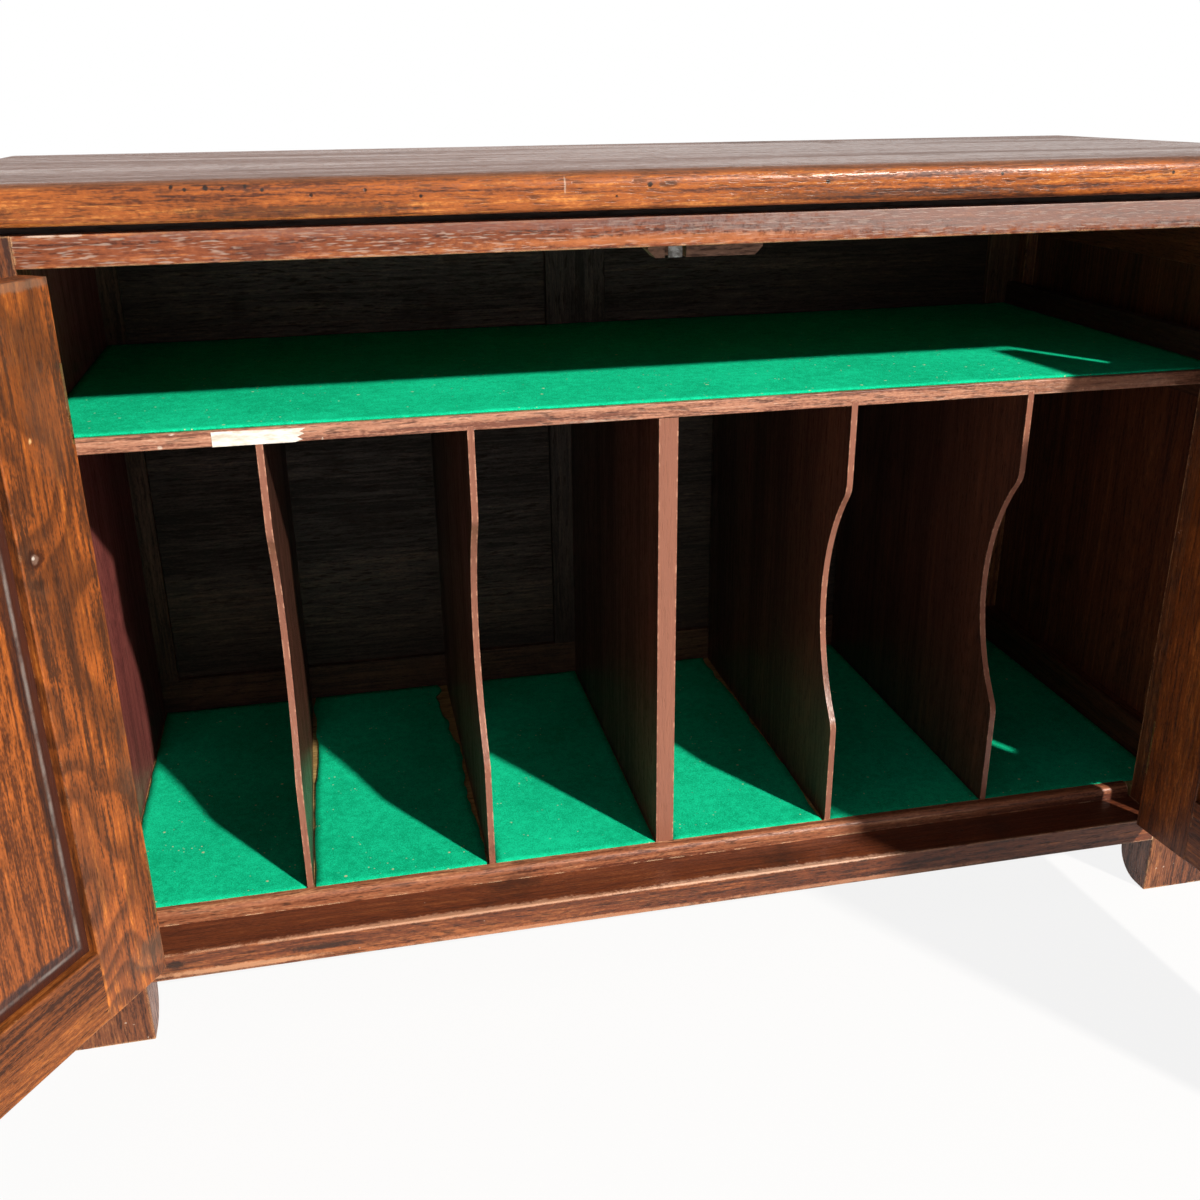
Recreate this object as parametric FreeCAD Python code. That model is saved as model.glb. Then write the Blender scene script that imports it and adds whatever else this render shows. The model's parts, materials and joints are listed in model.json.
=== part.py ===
"""Low oak cupboard for gramophone records, modelled in millimetres.

The front faces -Y and +Z is up. The origin is on the floor, below the middle of the carcass.
At rest both doors stand open: the left one by left_door_open_deg and the right one by
right_door_open_deg, counted from closed. Each function builds one piece or one set of like pieces.
"""

import FreeCAD
import Part
import math
import os

Vector = FreeCAD.Vector

# Carcass
carcass_width = 920.0
carcass_depth = 386.0
post_width = 67.0
post_depth = 36.0
foot_height = 48.0
foot_round = 24.0
arris_round = 0.9

# Rails of the front
sill_height = 21.0
sill_depth = 43.0
head_height = 18.0
bead_height = 11.0
bead_depth = 8.5
bead_round = 4.5
bead_end_gap = 4.0

# Inside heights, from the baize up
bay_height = 335.0
shelf_thickness = 10.4
upper_height = 106.8
baize_thickness = 1.5
baize_set_back = 3.0
baize_gap = 0.6

# Sides and back
side_rail_thickness = 30.0
side_rail_set_back = 5.0
low_rail_height = 63.6
side_top_rail_height = 58.0
back_rail_thickness = 20.0
back_frame_set_back = 3.0
back_top_rail_height = 46.0
back_stile_width = 30.0
muntin_width = 54.0
plain_panel_thickness = 8.0
panel_groove_depth = 6.0

# Top
top_thickness = 22.5
top_overhang = 10.0
top_back_overhang = 2.0
top_upper_round = 9.0
top_lower_round = 4.0
top_corner_round = 3.0
fillet_height = 4.8
fillet_set_back = 9.0
fillet_width = 24.0

# Inside fittings
board_thickness = 12.0
lining_thickness = 13.5
partition_thickness = 13.5
partition_offset = -8.5
divider_thickness = 4.5
housing_depth = 3.0
shelf_housing_depth = 5.0
scoop_depth = 34.6
scoop_radius = 145.0
scoop_shoulder_radius = 18.0
scoop_height = 178.0
bearer_size = 16.0
shelf_batten_width = 9.0
shelf_batten_height = 21.0
left_bay_shares = (0.340, 0.336, 0.324)
right_bay_shares = (0.300, 0.3125, 0.3875)

# Doors
door_thickness = 19.0
door_stile_width = 54.0
door_top_rail_height = 54.0
door_bottom_rail_height = 52.0
door_head_gap = 2.0
door_sill_gap = 1.5
door_side_gap = 1.2
door_meeting_gap = 1.5
left_door_open_deg = 124.0
right_door_open_deg = 95.0
tongue_thickness = 5.0
door_groove_depth = 7.0
field_thickness = 14.0
field_step_thickness = 9.0
field_margin = 17.0
field_step_start = 4.0
field_step_end = 5.5

# Joints in the frames
tenon_length = 26.0
side_tenon_length = 16.0
tenon_thickness_share = 0.36
tenon_height_share = 0.66
seat_clearance = 0.1

# Hinges
hinge_length = 46.0
hinge_inset = 70.0
leaf_thickness = 1.6
gain_depth = 2.0
knuckle_radius = 3.0
knuckle_gap = 0.2
knuckle_end_gap = 0.25
pin_radius = 1.5
pin_clearance = 0.04
pin_head_radius = 2.4
pin_head_height = 1.2
hinge_screw_spacing = 30.0
knuckle_count = 3

# Wood screws with countersunk heads
screw_head_radius = 2.9
screw_shank_radius = 1.5
screw_length = 12.0
screw_clearance = 0.05

# Knobs, latch arm and bolt
knob_height_share = 0.52
knob_edge_distance = 24.0
knob_base_radius = 11.0
knob_neck_radius = 7.0
knob_shoulder_radius = 10.0
knob_head_radius = 15.0
knob_base_length = 3.0
knob_neck_length = 8.0
knob_head_length = 13.0
knob_hollow_share = 0.3
dowel_radius = 4.0
dowel_length = 12.0
spindle_clearance = 0.08
latch_gap = 1.0
latch_thickness = 3.0
latch_width = 12.0
latch_reach = 44.0
latch_boss_radius = 8.0
bolt_edge_distance = 11.0
bolt_radius = 2.5
bolt_length = 42.0
bolt_top_gap = 2.2
bolt_stand_off = 6.5
bolt_clearance = 0.3
bolt_knob_radius = 2.2
bolt_knob_length = 8.0
case_width = 15.0
case_plate_thickness = 1.4
case_guide_height = 7.0
case_guide_wall = 1.6
case_top_gap = 3.0

# Stop block, keep and tape
block_length = 75.0
block_height = 9.0
block_depth = 15.0
block_chamfer = 5.0
block_offset = 8.0
block_front_gap = 0.6
notch_width = 14.0
notch_depth = 12.0
keep_width = 9.0
keep_thickness = 1.2
keep_set_back = 0.4
keep_foot_depth = 9.0
tape_thickness = 0.3
tape_start = -306.0
tape_length = 58.0
tape_height = 9.6
tape_tear_shares = ((1.0, 0.08), (0.93, 0.3), (0.98, 0.46), (0.9, 0.66), (0.96, 0.85), (0.88, 1.0))

overrun = 5.0

# Places worked out from the sizes above
front_y = -carcass_depth / 2
back_y = carcass_depth / 2
outer_x = carcass_width / 2
opening_x = outer_x - post_width
sill_top = foot_height + sill_height
floor_top = sill_top + bead_height
board_top = floor_top - baize_thickness
shelf_bottom = floor_top + bay_height
shelf_top = shelf_bottom + shelf_thickness
head_bottom = shelf_top + upper_height
post_top = head_bottom + head_height
top_bottom = post_top + fillet_height
inside_front = front_y + sill_depth
inside_back = back_y - back_frame_set_back - back_rail_thickness
side_x = outer_x - side_rail_set_back - side_rail_thickness
lining_x = -side_x + lining_thickness
partition_left = partition_offset - partition_thickness / 2
partition_right = partition_offset + partition_thickness / 2
front_post_back = front_y + post_depth
back_post_front = back_y - post_depth
door_bottom = sill_top + door_sill_gap
door_top = head_bottom - door_head_gap
door_inner_y = front_y + door_thickness
door_hinge_x = opening_x - door_side_gap
door_meeting_x = door_meeting_gap / 2
axis_x = opening_x - door_side_gap / 2
axis_y = front_y - knuckle_radius - knuckle_gap
hinge_heights = (door_bottom + hinge_inset, door_top - hinge_inset)
knob_z = door_bottom + (door_top - door_bottom) * knob_height_share
block_front = door_inner_y + block_front_gap
block_bottom = head_bottom - block_height
bolt_x = door_meeting_x + bolt_edge_distance
bolt_y = door_inner_y + bolt_stand_off
bolt_top = block_bottom - bolt_top_gap
case_top = bolt_top - case_top_gap
case_bottom = bolt_top - bolt_length + case_top_gap

parts = {}


def box(low, high):
    """A block between two opposite corners."""
    size = [b - a for a, b in zip(low, high)]
    return Part.makeBox(size[0], size[1], size[2], Vector(*low))


def grown(corners, amount):
    """The block between two corners, made larger by amount on every side."""
    low, high = corners
    return box([a - amount for a in low], [b + amount for b in high])


def eased(solid, axis, radius):
    """The solid with its long straight edges along one axis rounded."""
    size = solid.BoundBox
    spans = (size.XLength, size.YLength, size.ZLength)
    edges = []
    for edge in solid.Edges:
        step = edge.Vertexes[-1].Point - edge.Vertexes[0].Point
        if abs(abs(tuple(step)[axis]) - spans[axis]) < seat_clearance:
            edges.append(edge)
    return solid.makeFillet(radius, edges)


def cylinder(radius, length, start, direction):
    """A rod of the given radius from start along direction."""
    return Part.makeCylinder(radius, length, Vector(*start), Vector(*direction))


def mirrored_x(solid):
    """The solid's mirror image across the middle of the cupboard."""
    return solid.mirror(Vector(0, 0, 0), Vector(1, 0, 0))


def rail(axis, low, high, length=tenon_length):
    """A rail along one axis with a tenon at each end, and the tenons' corners."""
    body = eased(box(low, high), axis, arris_round)
    others = [i for i in range(len(low)) if i != axis]
    spans = {i: high[i] - low[i] for i in others}
    thin = min(others, key=lambda i: spans[i])
    corners = []
    for start, stop in ((low[axis] - length, low[axis]), (high[axis], high[axis] + length)):
        a, b = list(low), list(high)
        a[axis], b[axis] = start, stop
        for i in others:
            share = tenon_thickness_share if i == thin else tenon_height_share
            inset = spans[i] * (1 - share) / 2
            a[i], b[i] = low[i] + inset, high[i] - inset
        corners.append((a, b))
        body = body.fuse(box(a, b))
    return body.removeSplitter(), corners


def mortised(solid, tenons):
    """The solid with a mortise for each of the tenons that enter it."""
    for tenon in tenons:
        solid = solid.cut(grown(tenon, seat_clearance))
    return solid


def screw(start, direction, extra=0.0):
    """A countersunk wood screw whose head lies flush at start, or its hole when extra is given."""
    line = Vector(*direction)
    head = Part.makeCone(
        screw_head_radius + extra, screw_shank_radius + extra, leaf_thickness, Vector(*start), line
    )
    shank = Part.makeCylinder(screw_shank_radius + extra, screw_length + extra, Vector(*start), line)
    return head.fuse(shank)


def drilled(solid, places, direction):
    """The solid with a hole for each screw at places."""
    for place in places:
        solid = solid.cut(screw(place, direction, screw_clearance))
    return solid


# Frames of the sides, front and back


def post_corners(side, at_front):
    """Opposite corners of a corner post; side is -1 for left and 1 for right."""
    y_low = front_y if at_front else back_post_front
    inner = opening_x if at_front else side_x
    x_low = inner if side > 0 else -outer_x
    return (x_low, y_low, 0), (x_low + outer_x - inner, y_low + post_depth, post_top)


def rounded_foot(solid, at_front):
    """The post with the inner bottom corner of its foot rounded."""
    inner_y = front_post_back if at_front else back_post_front
    edges = []
    for edge in solid.Edges:
        ends = [v.Point for v in edge.Vertexes]
        low = all(abs(p.z) < seat_clearance for p in ends)
        if low and all(abs(p.y - inner_y) < seat_clearance for p in ends):
            edges.append(edge)
    return solid.makeFillet(foot_round, edges)


def corner_post(side, at_front, tenons, grooves):
    """A corner post with its foot, its mortises and the grooves of the panels beside it."""
    solid = rounded_foot(box(*post_corners(side, at_front)), at_front)
    solid = eased(solid, 2, arris_round)
    solid = mortised(solid, tenons)
    for groove in grooves:
        solid = solid.cut(grown(groove, seat_clearance))
    return solid


def side_rail(side, z_low, z_high):
    """A rail of one side frame, with its tenons."""
    x_low = side_x if side > 0 else -side_x - side_rail_thickness
    low = (x_low, front_post_back, z_low)
    high = (x_low + side_rail_thickness, back_post_front, z_high)
    return rail(1, low, high, side_tenon_length)


def side_panel_corners(side):
    """Opposite corners of a side panel, tongues included."""
    middle = side * (side_x + side_rail_thickness / 2)
    low = (
        middle - plain_panel_thickness / 2,
        front_post_back - panel_groove_depth,
        foot_height + low_rail_height - panel_groove_depth,
    )
    high = (
        middle + plain_panel_thickness / 2,
        back_post_front + panel_groove_depth,
        post_top - side_top_rail_height + panel_groove_depth,
    )
    return low, high


def side_panel(side):
    """A side panel with a bevelled field towards the outside."""
    low, high = side_panel_corners(side)
    plain = box(low, high)
    outer = high[0] if side > 0 else low[0]
    lift = side * (field_thickness - plain_panel_thickness) / 2
    rings = []
    for inset, x in ((field_step_start, outer), (field_margin, outer + lift)):
        y0, y1 = low[1] + panel_groove_depth + inset, high[1] - panel_groove_depth - inset
        z0, z1 = low[2] + panel_groove_depth + inset, high[2] - panel_groove_depth - inset
        points = [Vector(x, y0, z0), Vector(x, y1, z0), Vector(x, y1, z1), Vector(x, y0, z1)]
        rings.append(Part.makePolygon(points + points[:1]))
    field = Part.makeLoft(rings, True, True)
    return plain.fuse(field).removeSplitter()


def front_rail(z_low, z_high, depth):
    """The head rail or the sill between the front posts."""
    return rail(0, (-opening_x, front_y, z_low), (opening_x, front_y + depth, z_high))


def back_rail(z_low, z_high):
    """A rail between the back posts."""
    low = (-side_x, inside_back, z_low)
    high = (side_x, inside_back + back_rail_thickness, z_high)
    return rail(0, low, high)


def back_upright(x_low, width):
    """An upright of the back frame between its two rails."""
    low = (x_low, inside_back, foot_height + low_rail_height)
    high = (x_low + width, inside_back + back_rail_thickness, post_top - back_top_rail_height)
    return rail(2, low, high)


def back_panel_corners(side):
    """Opposite corners of one back panel, tongues included."""
    middle_y = inside_back + back_rail_thickness / 2
    z_low = foot_height + low_rail_height - panel_groove_depth
    z_high = post_top - back_top_rail_height + panel_groove_depth
    muntin_edge = partition_offset + side * muntin_width / 2
    near = muntin_edge - side * panel_groove_depth
    far = side * (side_x - back_stile_width + panel_groove_depth)
    low = (min(near, far), middle_y - plain_panel_thickness / 2, z_low)
    high = (max(near, far), middle_y + plain_panel_thickness / 2, z_high)
    return low, high


def build_carcass_frame():
    """Posts, rails, muntin and panels of the four sides."""
    head, head_tenons = front_rail(head_bottom, post_top, post_depth)
    sill, sill_tenons = front_rail(foot_height, sill_top, sill_depth)
    back_low, back_low_tenons = back_rail(foot_height, foot_height + low_rail_height)
    back_high, back_high_tenons = back_rail(post_top - back_top_rail_height, post_top)
    back_panels = {side: back_panel_corners(side) for side in (-1, 1)}
    for word, x_low, width in (
        ("left_stile", -side_x, back_stile_width),
        ("muntin", partition_offset - muntin_width / 2, muntin_width),
        ("right_stile", side_x - back_stile_width, back_stile_width),
    ):
        upright, upright_tenons = back_upright(x_low, width)
        back_low = mortised(back_low, upright_tenons)
        back_high = mortised(back_high, upright_tenons)
        for corners in back_panels.values():
            upright = upright.cut(grown(corners, seat_clearance))
        parts["back_" + word] = upright
    for corners in back_panels.values():
        back_low = back_low.cut(grown(corners, seat_clearance))
        back_high = back_high.cut(grown(corners, seat_clearance))
    for side, word in ((-1, "left"), (1, "right")):
        low_rail, low_tenons = side_rail(side, foot_height, foot_height + low_rail_height)
        high_rail, high_tenons = side_rail(side, post_top - side_top_rail_height, post_top)
        panel_corners = side_panel_corners(side)
        tenons = low_tenons + high_tenons
        parts[word + "_side_bottom_rail"] = low_rail.cut(grown(panel_corners, seat_clearance))
        parts[word + "_side_top_rail"] = high_rail.cut(grown(panel_corners, seat_clearance))
        parts[word + "_side_panel"] = side_panel(side)
        front = tenons + head_tenons + sill_tenons
        behind = tenons + back_low_tenons + back_high_tenons
        post = corner_post(side, True, front, [panel_corners])
        parts[word + "_front_post"] = hinge_seated(post, side)
        parts[word + "_back_post"] = corner_post(side, False, behind, [panel_corners])
        parts["back_" + word + "_panel"] = box(*back_panels[side])
    parts["front_top_rail"] = head
    parts["front_bottom_rail"] = sill
    parts["back_bottom_rail"] = back_low
    parts["back_top_rail"] = back_high


# Top


def build_top():
    """The overhanging top board and the set-back fillet strips that carry it."""
    low = (-outer_x - top_overhang, front_y - top_overhang, top_bottom)
    high = (outer_x + top_overhang, back_y + top_back_overhang, top_bottom + top_thickness)
    board = box(low, high)
    upper = []
    lower = []
    corners = []
    for edge in board.Edges:
        a, b = edge.Vertexes[0].Point, edge.Vertexes[-1].Point
        level = abs(a.z - b.z) < seat_clearance
        behind = min(a.y, b.y) > high[1] - seat_clearance
        if level and not behind:
            (upper if a.z > top_bottom + top_thickness / 2 else lower).append(edge)
        if not level:
            corners.append(edge)
    board = board.makeFillet(top_corner_round, corners)
    board = rounded_rim(board, top_bottom + top_thickness, top_upper_round, high[1])
    parts["top_board"] = rounded_rim(board, top_bottom, top_lower_round, high[1])
    strips = []
    x_out = outer_x - fillet_set_back
    y_front, y_back = front_y + fillet_set_back, back_y - fillet_set_back
    for y_low in (y_front, y_back - fillet_width):
        strips.append(box((-x_out, y_low, post_top), (x_out, y_low + fillet_width, top_bottom)))
    for side in (-1, 1):
        x_low = x_out - fillet_width if side > 0 else -x_out
        start = (x_low, y_front + fillet_width, post_top)
        stop = (x_low + fillet_width, y_back - fillet_width, top_bottom)
        strips.append(box(start, stop))
    parts["top_fillet"] = Part.makeCompound(strips)


def rounded_rim(board, level, radius, y_back):
    """The board with its front and end edges at one level rounded."""
    edges = []
    for edge in board.Edges:
        points = [v.Point for v in edge.Vertexes]
        at_level = all(abs(p.z - level) < seat_clearance for p in points)
        behind = all(p.y > y_back - top_corner_round - seat_clearance for p in points)
        if at_level and not behind:
            edges.append(edge)
    return board.makeFillet(radius, edges)


# Inside fittings


def bay_edges():
    """Left and right faces of the six record bays, from left to right."""
    bays = []
    left_clear = partition_left - lining_x - divider_thickness * (len(left_bay_shares) - 1)
    right_clear = side_x - partition_right - divider_thickness * (len(right_bay_shares) - 1)
    x = lining_x
    for share in left_bay_shares:
        bays.append((x, x + left_clear * share))
        x += left_clear * share + divider_thickness
    x = partition_right
    for share in right_bay_shares:
        bays.append((x, x + right_clear * share))
        x += right_clear * share + divider_thickness
    return bays


def divider_faces():
    """Left faces of the four thin dividers, from left to right."""
    bays = bay_edges()
    middle = len(left_bay_shares) - 1
    return [right for index, (left, right) in enumerate(bays[:-1]) if index != middle]


def divider(x_low):
    """A thin divider with a round scoop in its front edge."""
    z_low, z_high = board_top - housing_depth, shelf_bottom + housing_depth
    z_mid = floor_top + scoop_height
    centre_gap = scoop_radius - scoop_depth
    reach = scoop_radius + scoop_shoulder_radius
    shoulder_y = inside_front + scoop_shoulder_radius
    rise = math.sqrt(reach ** 2 - (centre_gap + scoop_shoulder_radius) ** 2)
    circle_y = inside_front - centre_gap
    share = scoop_radius / reach
    touch_y = circle_y + (shoulder_y - circle_y) * share
    bend = math.acos((centre_gap + scoop_shoulder_radius) / reach) / 2
    edges = []

    def at(y, z):
        return Vector(x_low, y, z)

    def shoulder_middle(sign):
        """The middle of the rounded shoulder above (1) or below (-1) the scoop."""
        y = shoulder_y - scoop_shoulder_radius * math.cos(bend)
        return at(y, z_mid + sign * (rise - scoop_shoulder_radius * math.sin(bend)))

    upper_start = at(inside_front, z_mid + rise)
    upper_touch = at(touch_y, z_mid + rise * share)
    lower_touch = at(touch_y, z_mid - rise * share)
    lower_start = at(inside_front, z_mid - rise)
    deepest = at(inside_front + scoop_depth, z_mid)
    edges.append(Part.LineSegment(at(inside_front, z_high), upper_start))
    edges.append(Part.Arc(upper_start, shoulder_middle(1), upper_touch))
    edges.append(Part.Arc(upper_touch, deepest, lower_touch))
    edges.append(Part.Arc(lower_touch, shoulder_middle(-1), lower_start))
    edges.append(Part.LineSegment(lower_start, at(inside_front, z_low)))
    edges.append(Part.LineSegment(at(inside_front, z_low), at(inside_back, z_low)))
    edges.append(Part.LineSegment(at(inside_back, z_low), at(inside_back, z_high)))
    edges.append(Part.LineSegment(at(inside_back, z_high), at(inside_front, z_high)))
    face = Part.Face(Part.Wire([edge.toShape() for edge in edges]))
    return face.extrude(Vector(divider_thickness, 0, 0))


def housed(solid, z_low, z_high):
    """The board with a housing for each thin divider between two heights."""
    for x_low in divider_faces():
        low = (x_low - seat_clearance, inside_front - overrun, z_low)
        high = (x_low + divider_thickness + seat_clearance, inside_back + overrun, z_high)
        solid = solid.cut(box(low, high))
    return solid


def build_fittings():
    """Bottom board, lining, shelf, partition, dividers, baize and their bearers."""
    z_low = board_top - board_thickness
    board = box((-side_x, front_post_back, z_low), (side_x, inside_back, board_top))
    front_cut = box(
        (-opening_x, front_post_back - overrun, z_low - overrun),
        (opening_x, inside_front, board_top + overrun),
    )
    board = board.cut(front_cut)
    parts["bottom_board"] = housed(board, board_top - housing_depth, board_top + overrun)

    lining = box((-side_x, front_post_back, board_top), (lining_x, inside_back, post_top))
    shelf_left = lining_x - shelf_housing_depth
    shelf = box((shelf_left, inside_front, shelf_bottom), (side_x, inside_back, shelf_top))
    shelf = eased(shelf, 0, arris_round)
    parts["shelf_board"] = housed(shelf, shelf_bottom - overrun, shelf_bottom + housing_depth)
    housing = box(
        (shelf_left, inside_front - seat_clearance, shelf_bottom - seat_clearance),
        (lining_x + overrun, inside_back + overrun, shelf_top + seat_clearance),
    )
    parts["left_lining"] = lining.cut(housing)
    parts["centre_partition"] = box(
        (partition_left, inside_front, board_top), (partition_right, inside_back, shelf_bottom)
    )
    for number, x_low in enumerate(divider_faces(), 1):
        parts["divider_" + str(number)] = divider(x_low)

    bays = []
    for left, right in bay_edges():
        piece = box(
            (left + baize_gap, inside_front, board_top),
            (right - baize_gap, inside_back - baize_gap, floor_top),
        )
        bays.append(piece)
    parts["floor_baize"] = Part.makeCompound(bays)
    parts["shelf_baize"] = box(
        (lining_x + baize_gap, inside_front + baize_set_back, shelf_top),
        (side_x - shelf_batten_width - baize_gap, inside_back - baize_gap, shelf_top + baize_thickness),
    )
    build_bearers()


def build_bearers():
    """Battens under the bottom board, and the pair that holds the shelf's right end."""
    z_high = board_top - board_thickness
    z_low = z_high - bearer_size
    long_battens = []
    for y_low in (inside_front, inside_back - bearer_size):
        long_battens.append(
            box((-side_x, y_low, z_low), (side_x, y_low + bearer_size, z_high))
        )
    for side in (-1, 1):
        x_low = side_x - bearer_size if side > 0 else -side_x
        long_battens.append(
            box(
                (x_low, inside_front + bearer_size, z_low),
                (x_low + bearer_size, inside_back - bearer_size, z_high),
            )
        )
    parts["bottom_bearers"] = Part.makeCompound(long_battens)
    under = box(
        (side_x - shelf_batten_width, inside_front, shelf_bottom - bearer_size),
        (side_x, inside_back, shelf_bottom),
    )
    over = box(
        (side_x - shelf_batten_width, inside_front, shelf_top),
        (side_x, inside_back, shelf_top + shelf_batten_height),
    )
    parts["shelf_battens"] = Part.makeCompound([under, over])


def build_bead():
    """The rounded bead that edges the floor of the bays."""
    reach = opening_x - bead_end_gap
    bead = box((-reach, inside_front - bead_depth, sill_top), (reach, inside_front, floor_top))
    edges = []
    for edge in bead.Edges:
        points = [v.Point for v in edge.Vertexes]
        top = all(abs(p.z - floor_top) < seat_clearance for p in points)
        if top and all(p.y < inside_front - bead_depth / 2 for p in points):
            edges.append(edge)
    parts["floor_bead"] = bead.makeFillet(bead_round, edges)


# Stop block, keep and tape


def build_stop():
    """The block under the head rail that stops the doors, its steel keep, and the torn tape."""
    x_low = block_offset - block_length / 2
    x_high = block_offset + block_length / 2
    outline = [
        (x_low, head_bottom),
        (x_high, head_bottom),
        (x_high, block_bottom + block_chamfer),
        (x_high - block_chamfer, block_bottom),
        (x_low + block_chamfer, block_bottom),
        (x_low, block_bottom + block_chamfer),
    ]
    points = [Vector(x, block_front, z) for x, z in outline]
    face = Part.Face(Part.makePolygon(points + points[:1]))
    block = face.extrude(Vector(0, block_depth, 0))
    notch = box(
        (-bolt_x - notch_width / 2, block_front - overrun, block_bottom - overrun),
        (-bolt_x + notch_width / 2, block_front + notch_depth, head_bottom),
    )
    parts["stop_block"] = block.cut(notch)
    y_low = block_front + keep_set_back
    left, right = -bolt_x - keep_width / 2, -bolt_x + keep_width / 2
    tongue = box((left, y_low, block_bottom), (right, y_low + keep_thickness, head_bottom))
    foot = box(
        (left, y_low, head_bottom - keep_thickness), (right, y_low + keep_foot_depth, head_bottom)
    )
    parts["bolt_keep"] = tongue.fuse(foot).removeSplitter()
    tape_face_y = inside_front - tape_thickness
    tape_top = shelf_bottom + tape_height
    points = [Vector(tape_start, tape_face_y, z) for z in (shelf_bottom, tape_top)]
    for along, down in tape_tear_shares:
        x = tape_start + tape_length * along
        points.append(Vector(x, tape_face_y, tape_top - tape_height * down))
    face = Part.Face(Part.makePolygon(points + points[:1]))
    parts["shelf_tape"] = face.extrude(Vector(0, tape_thickness, 0))


# Hinges


def hinge_span(z):
    """Lowest and highest height of the hinge whose middle is at z."""
    return z - hinge_length / 2, z + hinge_length / 2


def screw_places(x, z):
    """Where the two screws of a leaf start, for a leaf face at x."""
    y = front_y + door_thickness / 2
    return [(x, y, z + sign * hinge_screw_spacing / 2) for sign in (-1, 1)]


def knuckles(z, first, radius, end_gap):
    """Every second knuckle of a hinge on the right, starting with number first."""
    z_low = hinge_span(z)[0]
    length = hinge_length / knuckle_count
    rods = []
    for number in range(first, knuckle_count, 2):
        start = z_low + number * length + (end_gap if number else 0)
        stop = z_low + (number + 1) * length - (end_gap if number < knuckle_count - 1 else 0)
        rods.append(cylinder(radius, stop - start, (axis_x, axis_y, start), (0, 0, 1)))
    return rods


def hinge_leaf(z, first, x_low, x_high):
    """One leaf of a hinge on the right, with its knuckles and its pin hole."""
    z_low, z_high = hinge_span(z)
    leaf = box((x_low, axis_y, z_low), (x_high, door_inner_y, z_high))
    for room in knuckles(z, 1 - first, knuckle_radius + knuckle_gap, -knuckle_end_gap):
        leaf = leaf.cut(room)
    for rod in knuckles(z, first, knuckle_radius, knuckle_end_gap):
        leaf = leaf.fuse(rod)
    start = (axis_x, axis_y, z_low - overrun)
    hole = cylinder(pin_radius + pin_clearance, hinge_length + overrun * 2, start, (0, 0, 1))
    return leaf.cut(hole).removeSplitter()


def gain(x_low, x_high, z):
    """The shallow recess that a leaf is let into."""
    z_low, z_high = hinge_span(z)
    low = (x_low, front_y - overrun, z_low - seat_clearance)
    high = (x_high, door_inner_y + seat_clearance, z_high + seat_clearance)
    return box(low, high)


def hinge_seated(post, side):
    """A front post with the gains and screw holes of its hinges."""
    face = opening_x + gain_depth - leaf_thickness
    for z in hinge_heights:
        seat = gain(opening_x - overrun, opening_x + gain_depth, z)
        holes = [screw(place, (1, 0, 0), screw_clearance) for place in screw_places(face, z)]
        for cutter in [seat] + holes:
            post = post.cut(cutter if side > 0 else mirrored_x(cutter))
    return post


def hinge_sets():
    """Post leaves, door leaves, pins and screws of a hinge on the right, by name."""
    sets = {"post_leaves": [], "door_leaves": [], "pins": [], "post_screws": [], "door_screws": []}
    post_low = opening_x + gain_depth - leaf_thickness
    door_high = door_hinge_x - gain_depth + leaf_thickness
    for z in hinge_heights:
        z_low, z_high = hinge_span(z)
        leaf = hinge_leaf(z, 0, post_low, post_low + leaf_thickness)
        sets["post_leaves"].append(drilled(leaf, screw_places(post_low, z), (1, 0, 0)))
        leaf = hinge_leaf(z, 1, door_high - leaf_thickness, door_high)
        sets["door_leaves"].append(drilled(leaf, screw_places(door_high, z), (-1, 0, 0)))
        sets["post_screws"] += [screw(p, (1, 0, 0)) for p in screw_places(post_low, z)]
        sets["door_screws"] += [screw(p, (-1, 0, 0)) for p in screw_places(door_high, z)]
        pin = cylinder(pin_radius, hinge_length, (axis_x, axis_y, z_low), (0, 0, 1))
        for start in (z_low - pin_head_height, z_high):
            place = (axis_x, axis_y, start)
            pin = pin.fuse(cylinder(pin_head_radius, pin_head_height, place, (0, 0, 1)))
        sets["pins"].append(pin)
    return sets


# Doors, built closed as the right-hand one and mirrored for the left


def door_frame():
    """Stiles, rails and panel of a closed right door, by name."""
    y_low, y_high = front_y, door_inner_y
    left, right = door_meeting_x, door_hinge_x
    stile_left, stile_right = left + door_stile_width, right - door_stile_width
    top_low = door_top - door_top_rail_height
    bottom_high = door_bottom + door_bottom_rail_height
    top, top_tenons = rail(0, (stile_left, y_low, top_low), (stile_right, y_high, door_top))
    bottom, bottom_tenons = rail(
        0, (stile_left, y_low, door_bottom), (stile_right, y_high, bottom_high)
    )
    middle = (y_low + y_high) / 2
    tongue = (
        (stile_left - door_groove_depth, middle - tongue_thickness / 2, bottom_high - door_groove_depth),
        (stile_right + door_groove_depth, middle + tongue_thickness / 2, top_low + door_groove_depth),
    )
    meeting = eased(box((left, y_low, door_bottom), (stile_left, y_high, door_top)), 2, arris_round)
    hinge = eased(box((stile_right, y_low, door_bottom), (right, y_high, door_top)), 2, arris_round)
    pieces = {
        "top_rail": top,
        "bottom_rail": bottom,
        "meeting_stile": mortised(meeting, top_tenons + bottom_tenons),
        "hinge_stile": mortised(hinge, top_tenons + bottom_tenons),
    }
    for name in pieces:
        pieces[name] = pieces[name].cut(grown(tongue, seat_clearance))
    opening = (stile_left, stile_right, bottom_high, top_low)
    pieces["panel"] = door_panel(tongue, opening, middle)
    for z in hinge_heights:
        seat = gain(right - gain_depth, right + overrun, z)
        pieces["hinge_stile"] = pieces["hinge_stile"].cut(seat)
        places = screw_places(right - gain_depth + leaf_thickness, z)
        pieces["hinge_stile"] = drilled(pieces["hinge_stile"], places, (-1, 0, 0))
    return pieces


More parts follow.
